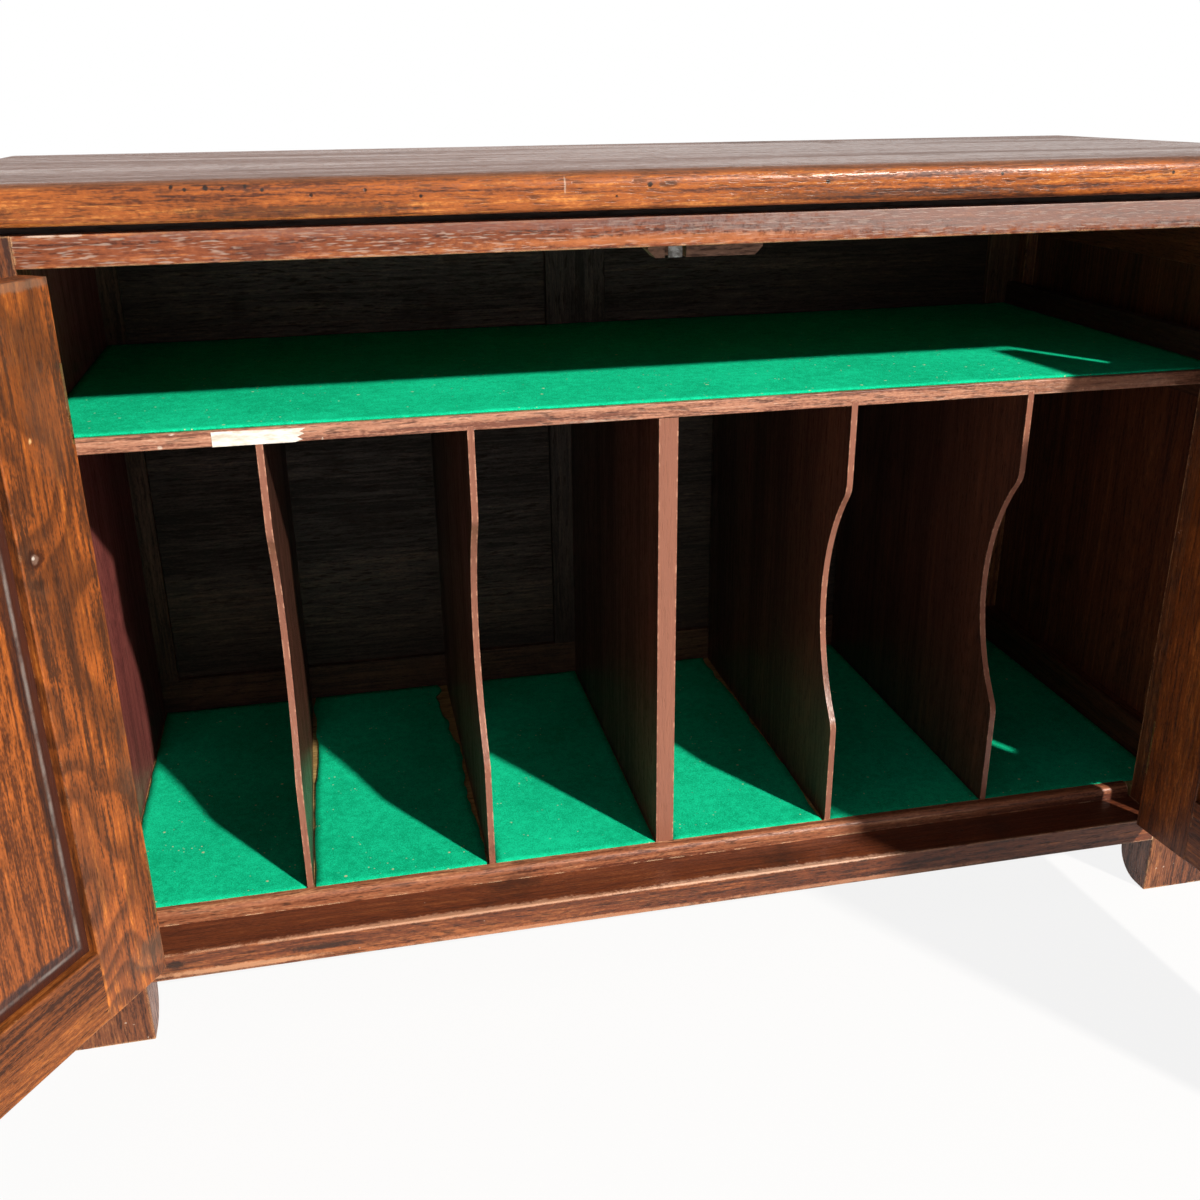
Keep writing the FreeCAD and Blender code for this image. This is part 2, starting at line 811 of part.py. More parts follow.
def door_panel(tongue, opening, middle):
    """A panel with a tongue all round and a bevelled field on both faces."""
    left, right, bottom, top = opening
    solid = box(*tongue)
    steps = (
        (field_step_start, tongue_thickness / 2, field_step_end, field_step_thickness / 2),
        (field_step_end, field_step_thickness / 2, field_margin, field_thickness / 2),
    )
    for sign in (-1, 1):
        for inset_a, depth_a, inset_b, depth_b in steps:
            rings = []
            for inset, depth in ((inset_a, depth_a), (inset_b, depth_b)):
                y = middle + sign * depth
                corners = (
                    (left + inset, bottom + inset),
                    (right - inset, bottom + inset),
                    (right - inset, top - inset),
                    (left + inset, top - inset),
                )
                points = [Vector(x, y, z) for x, z in corners]
                rings.append(Part.makePolygon(points + points[:1]))
            solid = solid.fuse(Part.makeLoft(rings, True, True))
    return solid.removeSplitter()


def knob_profile():
    """Outline of a turned knob: distance out from the door, and radius."""
    neck_start = knob_base_length
    head_start = neck_start + knob_neck_length
    end = head_start + knob_head_length
    return neck_start, head_start, end


def turned_knob(x, z):
    """A turned knob on the outer face of a closed door."""
    neck_start, head_start, end = knob_profile()

    def at(out, radius):
        return Vector(x + radius, front_y - out, z)

    widest = (head_start + end) / 2
    edges = [
        Part.LineSegment(at(0, 0), at(0, knob_base_radius)),
        Part.LineSegment(at(0, knob_base_radius), at(neck_start / 2, knob_base_radius)),
        Part.Arc(
            at(neck_start / 2, knob_base_radius),
            at(neck_start + knob_neck_length * knob_hollow_share, knob_neck_radius),
            at(head_start, knob_shoulder_radius),
        ),
        Part.Arc(
            at(head_start, knob_shoulder_radius),
            at(widest, knob_head_radius),
            at(end, knob_shoulder_radius),
        ),
        Part.LineSegment(at(end, knob_shoulder_radius), at(end, 0)),
        Part.LineSegment(at(end, 0), at(0, 0)),
    ]
    face = Part.Face(Part.Wire([edge.toShape() for edge in edges]))
    return face.revolve(Vector(x, 0, z), Vector(0, 1, 0), 360)


def build_left_door():
    """Pieces of the left door and its sliding bolt, closed."""
    pieces = {name: mirrored_x(solid) for name, solid in door_frame().items()}
    x = -door_meeting_x - knob_edge_distance
    hole = cylinder(
        dowel_radius + spindle_clearance, dowel_length + overrun, (x, front_y - overrun, knob_z), (0, 1, 0)
    )
    screws, case = bolt_case()
    stile = pieces["meeting_stile"].cut(hole)
    for place in case_screw_places():
        stile = stile.cut(case_screw(place, screw_clearance))
    pieces["meeting_stile"] = stile
    dowel = cylinder(dowel_radius, dowel_length, (x, front_y, knob_z), (0, 1, 0))
    pieces["knob"] = turned_knob(x, knob_z).fuse(dowel)
    pieces["bolt_case"] = case
    pieces["bolt_screws"] = screws
    return pieces


def case_screw_places():
    """Where the bolt case's screws start on its back plate."""
    z_mid = (case_top + case_bottom) / 2
    gap = case_width / 2 - screw_shank_radius * 2
    y = door_inner_y + case_plate_thickness
    return [(-bolt_x - gap, y, z_mid), (-bolt_x + gap, y, z_mid)]


def case_screw(place, extra=0.0):
    """A small round screw through the bolt case's plate, or its hole when extra is given."""
    length = screw_length / 2
    return cylinder(screw_shank_radius / 2 + extra, length + extra, place, (0, -1, 0))


def bolt_case():
    """The bolt's plate with its two guides, and the screws that hold it."""
    half = case_width / 2
    plate = box(
        (-bolt_x - half, door_inner_y, case_bottom),
        (-bolt_x + half, door_inner_y + case_plate_thickness, case_top),
    )
    wall = bolt_radius + bolt_clearance + case_guide_wall
    for z_low in (case_bottom, case_top - case_guide_height):
        guide = box(
            (-bolt_x - wall, door_inner_y, z_low),
            (-bolt_x + wall, bolt_y + wall, z_low + case_guide_height),
        )
        plate = plate.fuse(guide)
    start = (-bolt_x, bolt_y, case_bottom - overrun)
    length = case_top - case_bottom + overrun * 2
    plate = plate.cut(cylinder(bolt_radius + bolt_clearance, length, start, (0, 0, 1)))
    screws = []
    for place in case_screw_places():
        plate = plate.cut(case_screw(place, screw_clearance))
        screws.append(case_screw(place))
    return Part.makeCompound(screws), plate.removeSplitter()


def door_bolt():
    """The sliding bolt with its small knob, drawn back."""
    rod = cylinder(bolt_radius, bolt_length, (-bolt_x, bolt_y, bolt_top - bolt_length), (0, 0, 1))
    place = (-bolt_x, bolt_y, (case_top + case_bottom) / 2)
    return rod.fuse(cylinder(bolt_knob_radius, bolt_knob_length, place, (0, 1, 0)))


def build_right_door():
    """Pieces of the right door, closed."""
    pieces = door_frame()
    x = door_meeting_x + knob_edge_distance
    start = (x, front_y - overrun, knob_z)
    hole = cylinder(dowel_radius + spindle_clearance, door_thickness + overrun * 2, start, (0, 1, 0))
    pieces["meeting_stile"] = pieces["meeting_stile"].cut(hole)
    return pieces


def turn_knob():
    """The right door's knob with its spindle, standing just off the door."""
    x = door_meeting_x + knob_edge_distance
    length = door_thickness + latch_gap + latch_thickness
    spindle = cylinder(dowel_radius, length, (x, front_y, knob_z), (0, 1, 0))
    knob = turned_knob(x, knob_z).fuse(spindle)
    knob.translate(Vector(0, -knuckle_gap, 0))
    return knob


def latch_arm():
    """The arm on the spindle's inner end, hanging down."""
    x = door_meeting_x + knob_edge_distance
    y = door_inner_y + latch_gap
    half = latch_width / 2
    arm = box((x - half, y, knob_z - latch_reach), (x + half, y + latch_thickness, knob_z))
    arm = eased(arm, 1, half - seat_clearance)
    arm = arm.fuse(cylinder(latch_boss_radius, latch_thickness, (x, y, knob_z), (0, 1, 0)))
    bore = dowel_radius + spindle_clearance
    hole = cylinder(bore, latch_thickness + overrun * 2, (x, y - overrun, knob_z), (0, 1, 0))
    return arm.cut(hole).removeSplitter()


def swung(shape, side):
    """A closed door's piece, turned about its hinge axis to where it rests."""
    turned = shape.copy()
    degrees = right_door_open_deg if side > 0 else -left_door_open_deg
    turned.rotate(Vector(side * axis_x, axis_y, 0), Vector(0, 0, 1), degrees)
    return turned


def build_doors():
    """Both doors with their hinges, knobs, latch and bolt."""
    right_set = hinge_sets()
    left_set = {name: [mirrored_x(s) for s in solids] for name, solids in right_set.items()}
    for word, side, pieces, fittings in (
        ("left", -1, build_left_door(), left_set),
        ("right", 1, build_right_door(), right_set),
    ):
        for name, solid in pieces.items():
            parts[word + "_door_" + name] = swung(solid, side)
        leaves = Part.makeCompound(fittings["door_leaves"])
        screws = Part.makeCompound(fittings["door_screws"])
        parts[word + "_door_hinge_leaves"] = swung(leaves, side)
        parts[word + "_door_hinge_screws"] = swung(screws, side)
    parts["left_door_bolt"] = swung(door_bolt(), -1)
    parts["right_door_knob"] = swung(turn_knob(), 1)
    parts["right_door_latch_arm"] = swung(latch_arm(), 1)
    for node, key in (
        ("hinge_post_leaves", "post_leaves"),
        ("hinge_pins", "pins"),
        ("hinge_post_screws", "post_screws"),
    ):
        parts[node] = Part.makeCompound(left_set[key] + right_set[key])


def main():
    """Builds every piece and writes one file for each."""
    build_carcass_frame()
    build_top()
    build_fittings()
    build_bead()
    build_stop()
    build_doors()
    os.makedirs("parts", exist_ok=True)
    for name, shape in parts.items():
        shape.exportStep("parts/" + name + ".step")
        print(name, len(shape.Solids), round(shape.Volume), shape.isValid())


main()
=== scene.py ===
"""Looks of a low oak cupboard for gramophone records.

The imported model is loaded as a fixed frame. Its wooden and metal pieces get their finishes here, the
baize is laid as cut sheets over the boards, and a studio with the photograph's camera is set round it.
Every length is in metres.
"""

import json
import logging
import math
import random
from dataclasses import dataclass, field
from enum import Enum

import bmesh
import bpy
from mathutils import Matrix, Vector, noise

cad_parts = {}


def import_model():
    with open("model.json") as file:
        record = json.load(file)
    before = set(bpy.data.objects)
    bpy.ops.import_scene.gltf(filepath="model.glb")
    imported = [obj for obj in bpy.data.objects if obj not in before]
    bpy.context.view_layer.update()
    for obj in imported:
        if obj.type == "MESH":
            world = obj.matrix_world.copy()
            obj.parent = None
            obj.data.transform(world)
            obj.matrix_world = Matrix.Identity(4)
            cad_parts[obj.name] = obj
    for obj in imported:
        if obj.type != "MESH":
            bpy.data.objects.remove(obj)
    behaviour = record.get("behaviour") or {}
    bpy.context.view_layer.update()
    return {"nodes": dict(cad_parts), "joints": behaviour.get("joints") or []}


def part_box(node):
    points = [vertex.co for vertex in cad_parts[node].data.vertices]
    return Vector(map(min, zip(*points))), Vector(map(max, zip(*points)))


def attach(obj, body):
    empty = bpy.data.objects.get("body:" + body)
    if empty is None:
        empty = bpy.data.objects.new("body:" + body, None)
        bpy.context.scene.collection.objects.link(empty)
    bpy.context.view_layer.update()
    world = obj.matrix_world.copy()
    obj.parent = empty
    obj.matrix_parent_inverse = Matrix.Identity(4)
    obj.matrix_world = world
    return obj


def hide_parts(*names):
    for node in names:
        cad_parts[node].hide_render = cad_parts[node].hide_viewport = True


LOG = logging.getLogger("record_cupboard")
MM = 0.001
Colour = tuple[float, float, float]
Point = tuple[float, float, float]


def linear(red: float, green: float, blue: float) -> Colour:
    """Turns a colour as seen on screen, 0 to 255, into the linear values that a shader takes.

    Args:
        red: Red, 0 to 255.
        green: Green, 0 to 255.
        blue: Blue, 0 to 255.

    Returns:
        The colour in linear light.
    """
    def one(value: float) -> float:
        """Returns one channel in linear light."""
        share = value / 255.0
        return share / 12.92 if share <= 0.04045 else ((share + 0.055) / 1.055) ** 2.4

    return one(red), one(green), one(blue)


class Grain(Enum):
    """The direction in which a board's grain runs, and the turn that lays it along X."""

    ALONG_X = (0.0, 0.0, 0.0)
    ALONG_Y = (0.0, 0.0, -math.pi / 2)
    ALONG_Z = (0.0, math.pi / 2, 0.0)


@dataclass(frozen=True)
class Mark:
    """A stain, filled hole, knot or scratch at one place of a piece, or painted light or shade there.

    Attributes:
        centre: Its middle, in the frame of the closed cupboard.
        radii: Its reach along X, Y and Z.
        colour: Its colour.
        strength: How far it covers the wood, 0 to 1.
    """

    centre: Point
    radii: Point
    colour: Colour
    strength: float = 0.8


@dataclass(frozen=True)
class OakFinish:
    """Colours and wear of one kind of oak surface.

    Attributes:
        deep: Colour of the dark growth rings.
        base: Colour of most of the wood.
        light: Colour of the pale rings.
        pore: Colour inside the pores.
        rings: How close the growth rings lie.
        ring_depth: How far the rings darken the wood, 0 to 1.
        figure: How soon the rings bend along the board, 0 for straight.
        flame: Share of dark cloudy figure, 0 to 1.
        pores: How far the pores darken the wood, 0 to 1.
        gloss: Roughness of the smoothest and the dullest places.
        shine: How strongly the bare surface reflects.
        coat: Weight of the polish on top.
        wear: Share of the arrises that is rubbed, 0 to 1.
        worn: Colour of rubbed arrises.
        grime: Share of the surface under old dirt.
        dirt: Colour of the dirt.
        specks: Share of small pale specks.
        dents: Share of worm holes and dents.
        bump: Strength of the grain's relief.
        facing: Direction whose faces get a colour of their own.
        faced: That colour.
        facing_share: How far it covers them.
    """

    deep: Colour
    base: Colour
    light: Colour
    pore: Colour = linear(30, 14, 8)
    rings: float = 30.0
    ring_depth: float = 0.28
    figure: float = 0.4
    flame: float = 0.0
    pores: float = 0.6
    gloss: tuple[float, float] = (0.34, 0.62)
    shine: float = 0.35
    coat: float = 0.08
    wear: float = 0.5
    worn: Colour = linear(196, 140, 98)
    grime: float = 0.3
    dirt: Colour = linear(38, 22, 15)
    specks: float = 0.15
    dents: float = 0.2
    bump: float = 0.5
    facing: Point = (0.0, 0.0, 1.0)
    faced: Colour = linear(90, 60, 40)
    facing_share: float = 0.0


TOP_OAK = OakFinish(
    deep=linear(78, 36, 16), base=linear(160, 88, 40), light=linear(214, 138, 70), rings=44.0, figure=0.08,
    pores=0.55, gloss=(0.24, 0.64), shine=0.3, coat=0.0, wear=0.4, worn=linear(60, 28, 16), grime=0.4,
    specks=0.15, dents=0.5, bump=0.35, faced=linear(84, 50, 24), facing_share=0.7,
)
RAIL_OAK = OakFinish(
    deep=linear(64, 30, 20), base=linear(130, 70, 42), light=linear(178, 110, 66),
    pore=linear(186, 172, 160), pores=0.42, rings=38.0, figure=0.15, shine=0.25, coat=0.04,
    wear=0.75, worn=linear(222, 176, 130), grime=0.35, specks=0.3, bump=0.35,
)
SIDE_OAK = OakFinish(
    deep=linear(54, 26, 16), base=linear(100, 53, 31), light=linear(138, 82, 50), rings=44.0, figure=0.12,
    wear=0.5, worn=linear(180, 132, 92), grime=0.4,
)
SILL_OAK = OakFinish(
    deep=linear(50, 25, 17), base=linear(112, 60, 36), light=linear(160, 96, 57), rings=36.0, figure=0.3,
    wear=0.9, worn=linear(226, 186, 150), grime=0.55, specks=0.5, dents=0.5, shine=0.28,
    faced=linear(104, 52, 32), facing_share=0.45,
)
POST_OAK = OakFinish(
    deep=linear(56, 28, 17), base=linear(118, 66, 37), light=linear(160, 100, 58), rings=34.0, figure=0.3,
    wear=0.85, worn=linear(216, 168, 120), grime=0.6, specks=0.8, dents=0.5,
    facing=(0.0, 1.0, 0.0), faced=linear(104, 96, 80), facing_share=0.6, bump=0.8,
)
BEAD_OAK = OakFinish(
    deep=linear(92, 46, 30), base=linear(158, 98, 68), light=linear(204, 146, 108), rings=60.0, figure=0.1,
    wear=0.6, worn=linear(236, 198, 160), grime=0.35, specks=0.4, coat=0.1, bump=0.35,
)
# Painted shade: the recessed fillet under the top is coloured near black to stand for the shadow in that gap.
FILLET_PAINTED_SHADE_OAK = OakFinish(
    deep=linear(22, 14, 10), base=linear(36, 22, 16), light=linear(54, 34, 24), wear=0.2, coat=0.0,
    worn=linear(90, 60, 42), gloss=(0.6, 0.85),
)
BACK_OAK = OakFinish(
    deep=linear(34, 24, 18), base=linear(64, 46, 36), light=linear(96, 72, 54), rings=52.0, figure=0.12,
    flame=0.3, gloss=(0.5, 0.8), coat=0.0, wear=0.3, worn=linear(132, 96, 68), grime=0.5, specks=0.2,
)
BACK_RAIL_OAK = OakFinish(
    deep=linear(52, 34, 24), base=linear(92, 62, 44), light=linear(122, 88, 62), rings=30.0, figure=0.2,
    gloss=(0.5, 0.8), coat=0.0, wear=0.4, worn=linear(150, 112, 80), grime=0.5, specks=0.2,
)
# Darker oak for the inside: partly the wood's own tone, partly painted shade of the shaded interior.
INNER_SHADED_OAK = OakFinish(
    deep=linear(34, 20, 13), base=linear(64, 38, 26), light=linear(92, 58, 40), rings=44.0, figure=0.1,
    gloss=(0.5, 0.8), coat=0.0, wear=0.3, worn=linear(120, 84, 58), grime=0.5, specks=0.1,
)
LINING_WOOD = OakFinish(
    deep=linear(92, 44, 42), base=linear(126, 64, 60), light=linear(150, 84, 76), rings=24.0, figure=0.3,
    pores=0.35, gloss=(0.42, 0.7), coat=0.0, wear=0.6, worn=linear(190, 150, 112), grime=0.3, specks=0.15,
)
SHELF_WOOD = OakFinish(
    deep=linear(112, 66, 50), base=linear(184, 130, 104), light=linear(218, 174, 148), rings=60.0, figure=0.1,
    gloss=(0.36, 0.6), wear=0.6, worn=linear(98, 52, 38), grime=0.2, specks=0.5,
)
DIVIDER_WOOD = OakFinish(
    deep=linear(46, 26, 19), base=linear(78, 46, 34), light=linear(106, 66, 48), rings=26.0, figure=0.2,
    gloss=(0.32, 0.55), coat=0.12, wear=0.6, worn=linear(214, 162, 134), grime=0.35, specks=0.2,
    facing=(0.0, -1.0, 0.0), faced=linear(166, 108, 86), facing_share=0.62,
)
BOARD_WOOD = OakFinish(
    deep=linear(140, 112, 64), base=linear(178, 148, 92), light=linear(206, 178, 120), rings=30.0,
    gloss=(0.6, 0.85), coat=0.0, wear=0.2, worn=linear(210, 190, 140), grime=0.45,
    dirt=linear(96, 74, 44), specks=0.2,
)
DOOR_STILE_OAK = OakFinish(
    deep=linear(72, 42, 26), base=linear(160, 86, 38), light=linear(216, 128, 54), rings=13.0, figure=0.9,
    ring_depth=0.66, flame=0.4, pores=0.4, gloss=(0.3, 0.5), shine=0.25, coat=0.05, wear=0.55,
    worn=linear(190, 132, 84), grime=0.45, dirt=linear(86, 64, 50), specks=0.2, bump=0.35,
)
DOOR_RAIL_OAK = OakFinish(
    deep=linear(58, 29, 14), base=linear(126, 68, 30), light=linear(170, 100, 46), rings=34.0, figure=0.2,
    pores=0.5, gloss=(0.34, 0.56), shine=0.2, coat=0.03, wear=0.45, worn=linear(196, 136, 84),
    grime=0.3, specks=0.2, bump=0.35,
)
PANEL_OAK = OakFinish(
    deep=linear(86, 44, 20), base=linear(174, 94, 38), light=linear(218, 130, 56), rings=40.0, figure=0.12,
    flame=0.25, pores=0.5, gloss=(0.32, 0.55), shine=0.25, coat=0.05, wear=0.4, worn=linear(150, 120, 92),
    grime=0.35, specks=0.1, bump=0.4,
)
# A darker copy of the door oak for the right door: painted shade, for its face that stands in shade.
RIGHT_DOOR_SHADED_OAK = OakFinish(
    deep=linear(62, 31, 16), base=linear(132, 70, 32), light=linear(178, 104, 48), rings=30.0, figure=0.4,
    flame=0.4, pores=0.4, gloss=(0.34, 0.55), shine=0.2, coat=0.03, wear=0.5, worn=linear(190, 132, 90),
    grime=0.4,
)
BLOCK_WOOD = OakFinish(
    deep=linear(70, 46, 36), base=linear(116, 84, 66), light=linear(148, 112, 88), rings=60.0,
    gloss=(0.5, 0.75), coat=0.0, wear=0.5, worn=linear(176, 146, 120), grime=0.3,
    dirt=linear(48, 34, 28), specks=0.3,
)

CHALKY = linear(216, 200, 184)
HOLE = linear(14, 8, 6)
SOOT = linear(36, 24, 18)


def at(x: float, y: float, z: float) -> Point:
    """Returns a place given in millimetres, in metres."""
    return x * MM, y * MM, z * MM


def worm_hole(x: float, y: float, z: float, size: float = 1.2) -> Mark:
    """Returns a worm hole of that size at a place given in millimetres."""
    return Mark(at(x, y, z), at(size, 3.0 * size, size), HOLE, 0.95)


TOP_FLAWS_AND_REFLECTION = (
    worm_hole(-305, -202, 574, 1.4), worm_hole(-298, -202, 572.5), worm_hole(-287, -202, 573, 1.7),
    worm_hole(-278, -202, 572.5), worm_hole(-266, -202, 573.5, 1.5), worm_hole(-257, -202, 571.5, 1.0),
    worm_hole(-36, -203, 569, 1.6), worm_hole(-56, -203, 563, 1.0), worm_hole(75, -203, 568, 1.4),
    worm_hole(190, -202, 570), worm_hole(310, -202, 568, 1.4), worm_hole(-170, -203, 566, 1.0),
    Mark(at(-86.8, -200, 570), at(0.7, 12, 5), CHALKY, 0.35),
    # Painted reflection: the right half of the top is darkened to stand for the darker surroundings it mirrors.
    Mark(at(330, 0, 577.5), at(330, 260, 3), linear(66, 38, 18), 0.35),
    Mark(at(-240, -203, 560), at(70, 4, 3.5), SOOT, 0.6),
    Mark(at(-420, -203, 563), at(40, 6, 5), SOOT, 0.45),
    Mark(at(120, -203, 560), at(120, 4, 3), SOOT, 0.55),
    Mark(at(-25, -203, 569), at(7, 4, 2), SOOT, 0.6),
)
TOP_RAIL_MARKS = (
    Mark(at(-377, -193, 549.8), at(9, 3, 1.1), CHALKY, 0.7),
    Mark(at(-362, -193, 549.5), at(7, 3, 0.9), CHALKY, 0.65),
    Mark(at(-337.9, -193, 546.9), at(4.2, 3, 0.8), linear(176, 168, 156), 0.5),
    Mark(at(-257, -193, 538.5), at(22, 3, 4.2), linear(64, 36, 30), 0.5),
    Mark(at(-120, -193, 548), at(240, 3, 3.6), linear(116, 84, 78), 0.5),
    Mark(at(270, -193, 545), at(300, 3, 11), linear(136, 118, 114), 0.65),
    Mark(at(-30, -193, 537), at(110, 3, 3), linear(196, 118, 66), 0.45),
)
SILL_FLAWS_AND_HIGHLIGHT = (
    Mark(at(-372, -193, 60.4), at(7, 4, 3), SOOT, 0.85),
    Mark(at(-268, -193, 59), at(26, 4, 2.6), SOOT, 0.8),
    Mark(at(-330, -193, 52), at(60, 4, 2.4), linear(214, 160, 122), 0.6),
    Mark(at(-90, -193, 50), at(120, 4, 2.0), linear(206, 146, 110), 0.55),
    Mark(at(140, -193, 50.5), at(110, 4, 2.0), linear(196, 140, 108), 0.5),
    # Painted highlight: the next two pale lines run along the sill's top front arris.
    Mark(at(-180, -193, 69), at(160, 5, 1.6), linear(224, 172, 140), 0.55),
    Mark(at(60, -193, 69), at(120, 5, 1.6), linear(232, 186, 158), 0.6),
)
SHELF_CHIPS_AND_SHADOW = (
    Mark(at(-329.3, -152, 424.6), at(2.4, 3, 0.9), CHALKY, 0.9),
    Mark(at(-337.4, -152, 416.8), at(1.8, 3, 1.5), CHALKY, 0.85),
    Mark(at(-60, -152, 416), at(30, 3, 1.2), CHALKY, 0.35),
    # Painted shadow: the right door's shadow on the right part of the shelf's front edge.
    Mark(at(330, -152, 420), at(110, 4, 8), linear(92, 54, 40), 0.6),
)
# Painted light: green light thrown by the baize on the low front part of the lining.
LINING_GREEN_BOUNCE = (
    Mark(at(-411, -140, 92), at(4, 40, 26), linear(96, 96, 52), 0.6),
    Mark(at(-411, -60, 84), at(4, 60, 8), linear(58, 84, 52), 0.6),
)
STILE_FLAWS_AND_GLINT = (
    Mark(at(-348, -174, 381.7), at(6.4, 3, 6.8), linear(52, 28, 20), 0.85),
    Mark(at(-347.8, -174, 382.1), at(2.6, 3, 2.8), linear(132, 104, 90), 0.7),
    # Painted highlight: a small bright glint on the filled screw hole.
    Mark(at(-346.8, -174, 383.0), at(1.0, 3, 1.2), linear(206, 196, 186), 0.8),
    Mark(at(-359.7, -174, 446.6), at(1.3, 3, 1.7), linear(216, 174, 120), 0.85),
    Mark(at(-347, -174, 367), at(5, 3, 3.4), SOOT, 0.5),
    Mark(at(-390, -176, 482), at(4, 6, 3), linear(60, 40, 30), 0.8),
    Mark(at(-391.5, -180, 462), at(1.8, 9, 20), linear(206, 186, 160), 0.7),
    Mark(at(-374, -174, 452), at(16, 4, 34), linear(92, 62, 46), 0.4),
    Mark(at(-382, -174, 92), at(18, 4, 14), linear(92, 72, 58), 0.5),
    Mark(at(-365, -174, 528), at(34, 5, 3.2), linear(122, 96, 80), 0.55),
)


@dataclass(frozen=True)
class RaisedField:
    """The raised field of a door panel, with painted shade round it and a painted highlight on its ridge.

    Attributes:
        centre: Its middle, in the frame of the closed cupboard.
        half: Half its width and half its height.
        recess_shade: Painted shade in the hollow beside the frame.
        slope: Painted shade on the slope beside the field.
        highlight_colour: Painted highlight on the ridge between them.
        highlight_offset: Distance of the painted highlight from the field.
    """

    centre: Point
    half: tuple[float, float]
    recess_shade: Colour = linear(64, 32, 24)
    slope: Colour = linear(40, 30, 32)
    highlight_colour: Colour = linear(150, 144, 140)
    highlight_offset: float = 8.0 * MM


class Graph:
    """A shader node tree with short calls that add and wire its nodes."""

    def __init__(self, tree: bpy.types.NodeTree) -> None:
        """Takes the tree that the nodes go into.

        Args:
            tree: A material's or a group's node tree.
        """
        self.tree = tree

    def add(self, kind: str, inputs: dict | None = None, **settings: object) -> bpy.types.Node:
        """Adds a node.

        Args:
            kind: The node's type name without the leading ShaderNode.
            inputs: Socket name or number to a plain value or to the socket that feeds it.
            settings: The node's own properties.

        Returns:
            The new node.
        """
        node = self.tree.nodes.new("ShaderNode" + kind)
        for name, value in settings.items():
            setattr(node, name, value)
        for key, value in (inputs or {}).items():
            if isinstance(value, bpy.types.NodeSocket):
                self.tree.links.new(value, node.inputs[key])
            else:
                node.inputs[key].default_value = value
        return node

    def calc(self, operation: str, first: object, second: object = 0.0) -> bpy.types.NodeSocket:
        """Adds a Math node.

        Args:
            operation: The sum that it does.
            first: Its first value or socket.
            second: Its second value or socket.

        Returns:
            The socket that holds the answer.
        """
        return self.add("Math", {0: first, 1: second}, operation=operation).outputs[0]

    def spread(self, value: object, low: float, high: float,
               to: tuple[float, float] = (0.0, 1.0)) -> bpy.types.NodeSocket:
        """Maps a range of values smoothly to another.

        Args:
            value: The socket to map.
            low: The value that becomes the first of to.
            high: The value that becomes the second of to.
            to: The two ends of the new range.

        Returns:
            The socket that holds the mapped value.
        """
        sockets = {"Value": value, "From Min": low, "From Max": high, "To Min": to[0], "To Max": to[1]}
        node = self.add("MapRange", sockets, interpolation_type="SMOOTHSTEP")
        return node.outputs["Result"]

    def blend(self, factor: object, first: object, second: object,
              mode: str = "MIX") -> bpy.types.NodeSocket:
        """Mixes two colours.

        Args:
            factor: Share of the second colour.
            first: The first colour or socket.
            second: The second colour or socket.
            mode: How they are mixed.

        Returns:
            The socket that holds the mixed colour.
        """
        node = self.add("Mix", data_type="RGBA", blend_type=mode)
        for socket, value in ((node.inputs[0], factor), (node.inputs[6], first), (node.inputs[7], second)):
            if isinstance(value, bpy.types.NodeSocket):
                self.tree.links.new(value, socket)
            elif isinstance(value, tuple):
                socket.default_value = (*value, 1.0)
            else:
                socket.default_value = value
        return node.outputs[2]

    def mottle(self, vector: object, size: Point, detail: float = 3.0, twist: float = 0.0,
               rough: float = 0.5) -> bpy.types.NodeSocket:
        """Adds noise, stretched by its own scale on each axis.

        Args:
            vector: The coordinates.
            size: Repeats per metre along X, Y and Z.
            detail: Number of finer layers.
            twist: How far the pattern is distorted.
            rough: How strong the finer layers are.

        Returns:
            The socket that holds the noise, 0 to 1.
        """
        scaled = self.add("VectorMath", {0: vector, 1: size}, operation="MULTIPLY").outputs[0]
        sockets = {"Vector": scaled, "Scale": 1.0, "Detail": detail, "Roughness": rough, "Distortion": twist}
        return self.add("TexNoise", sockets).outputs[0]


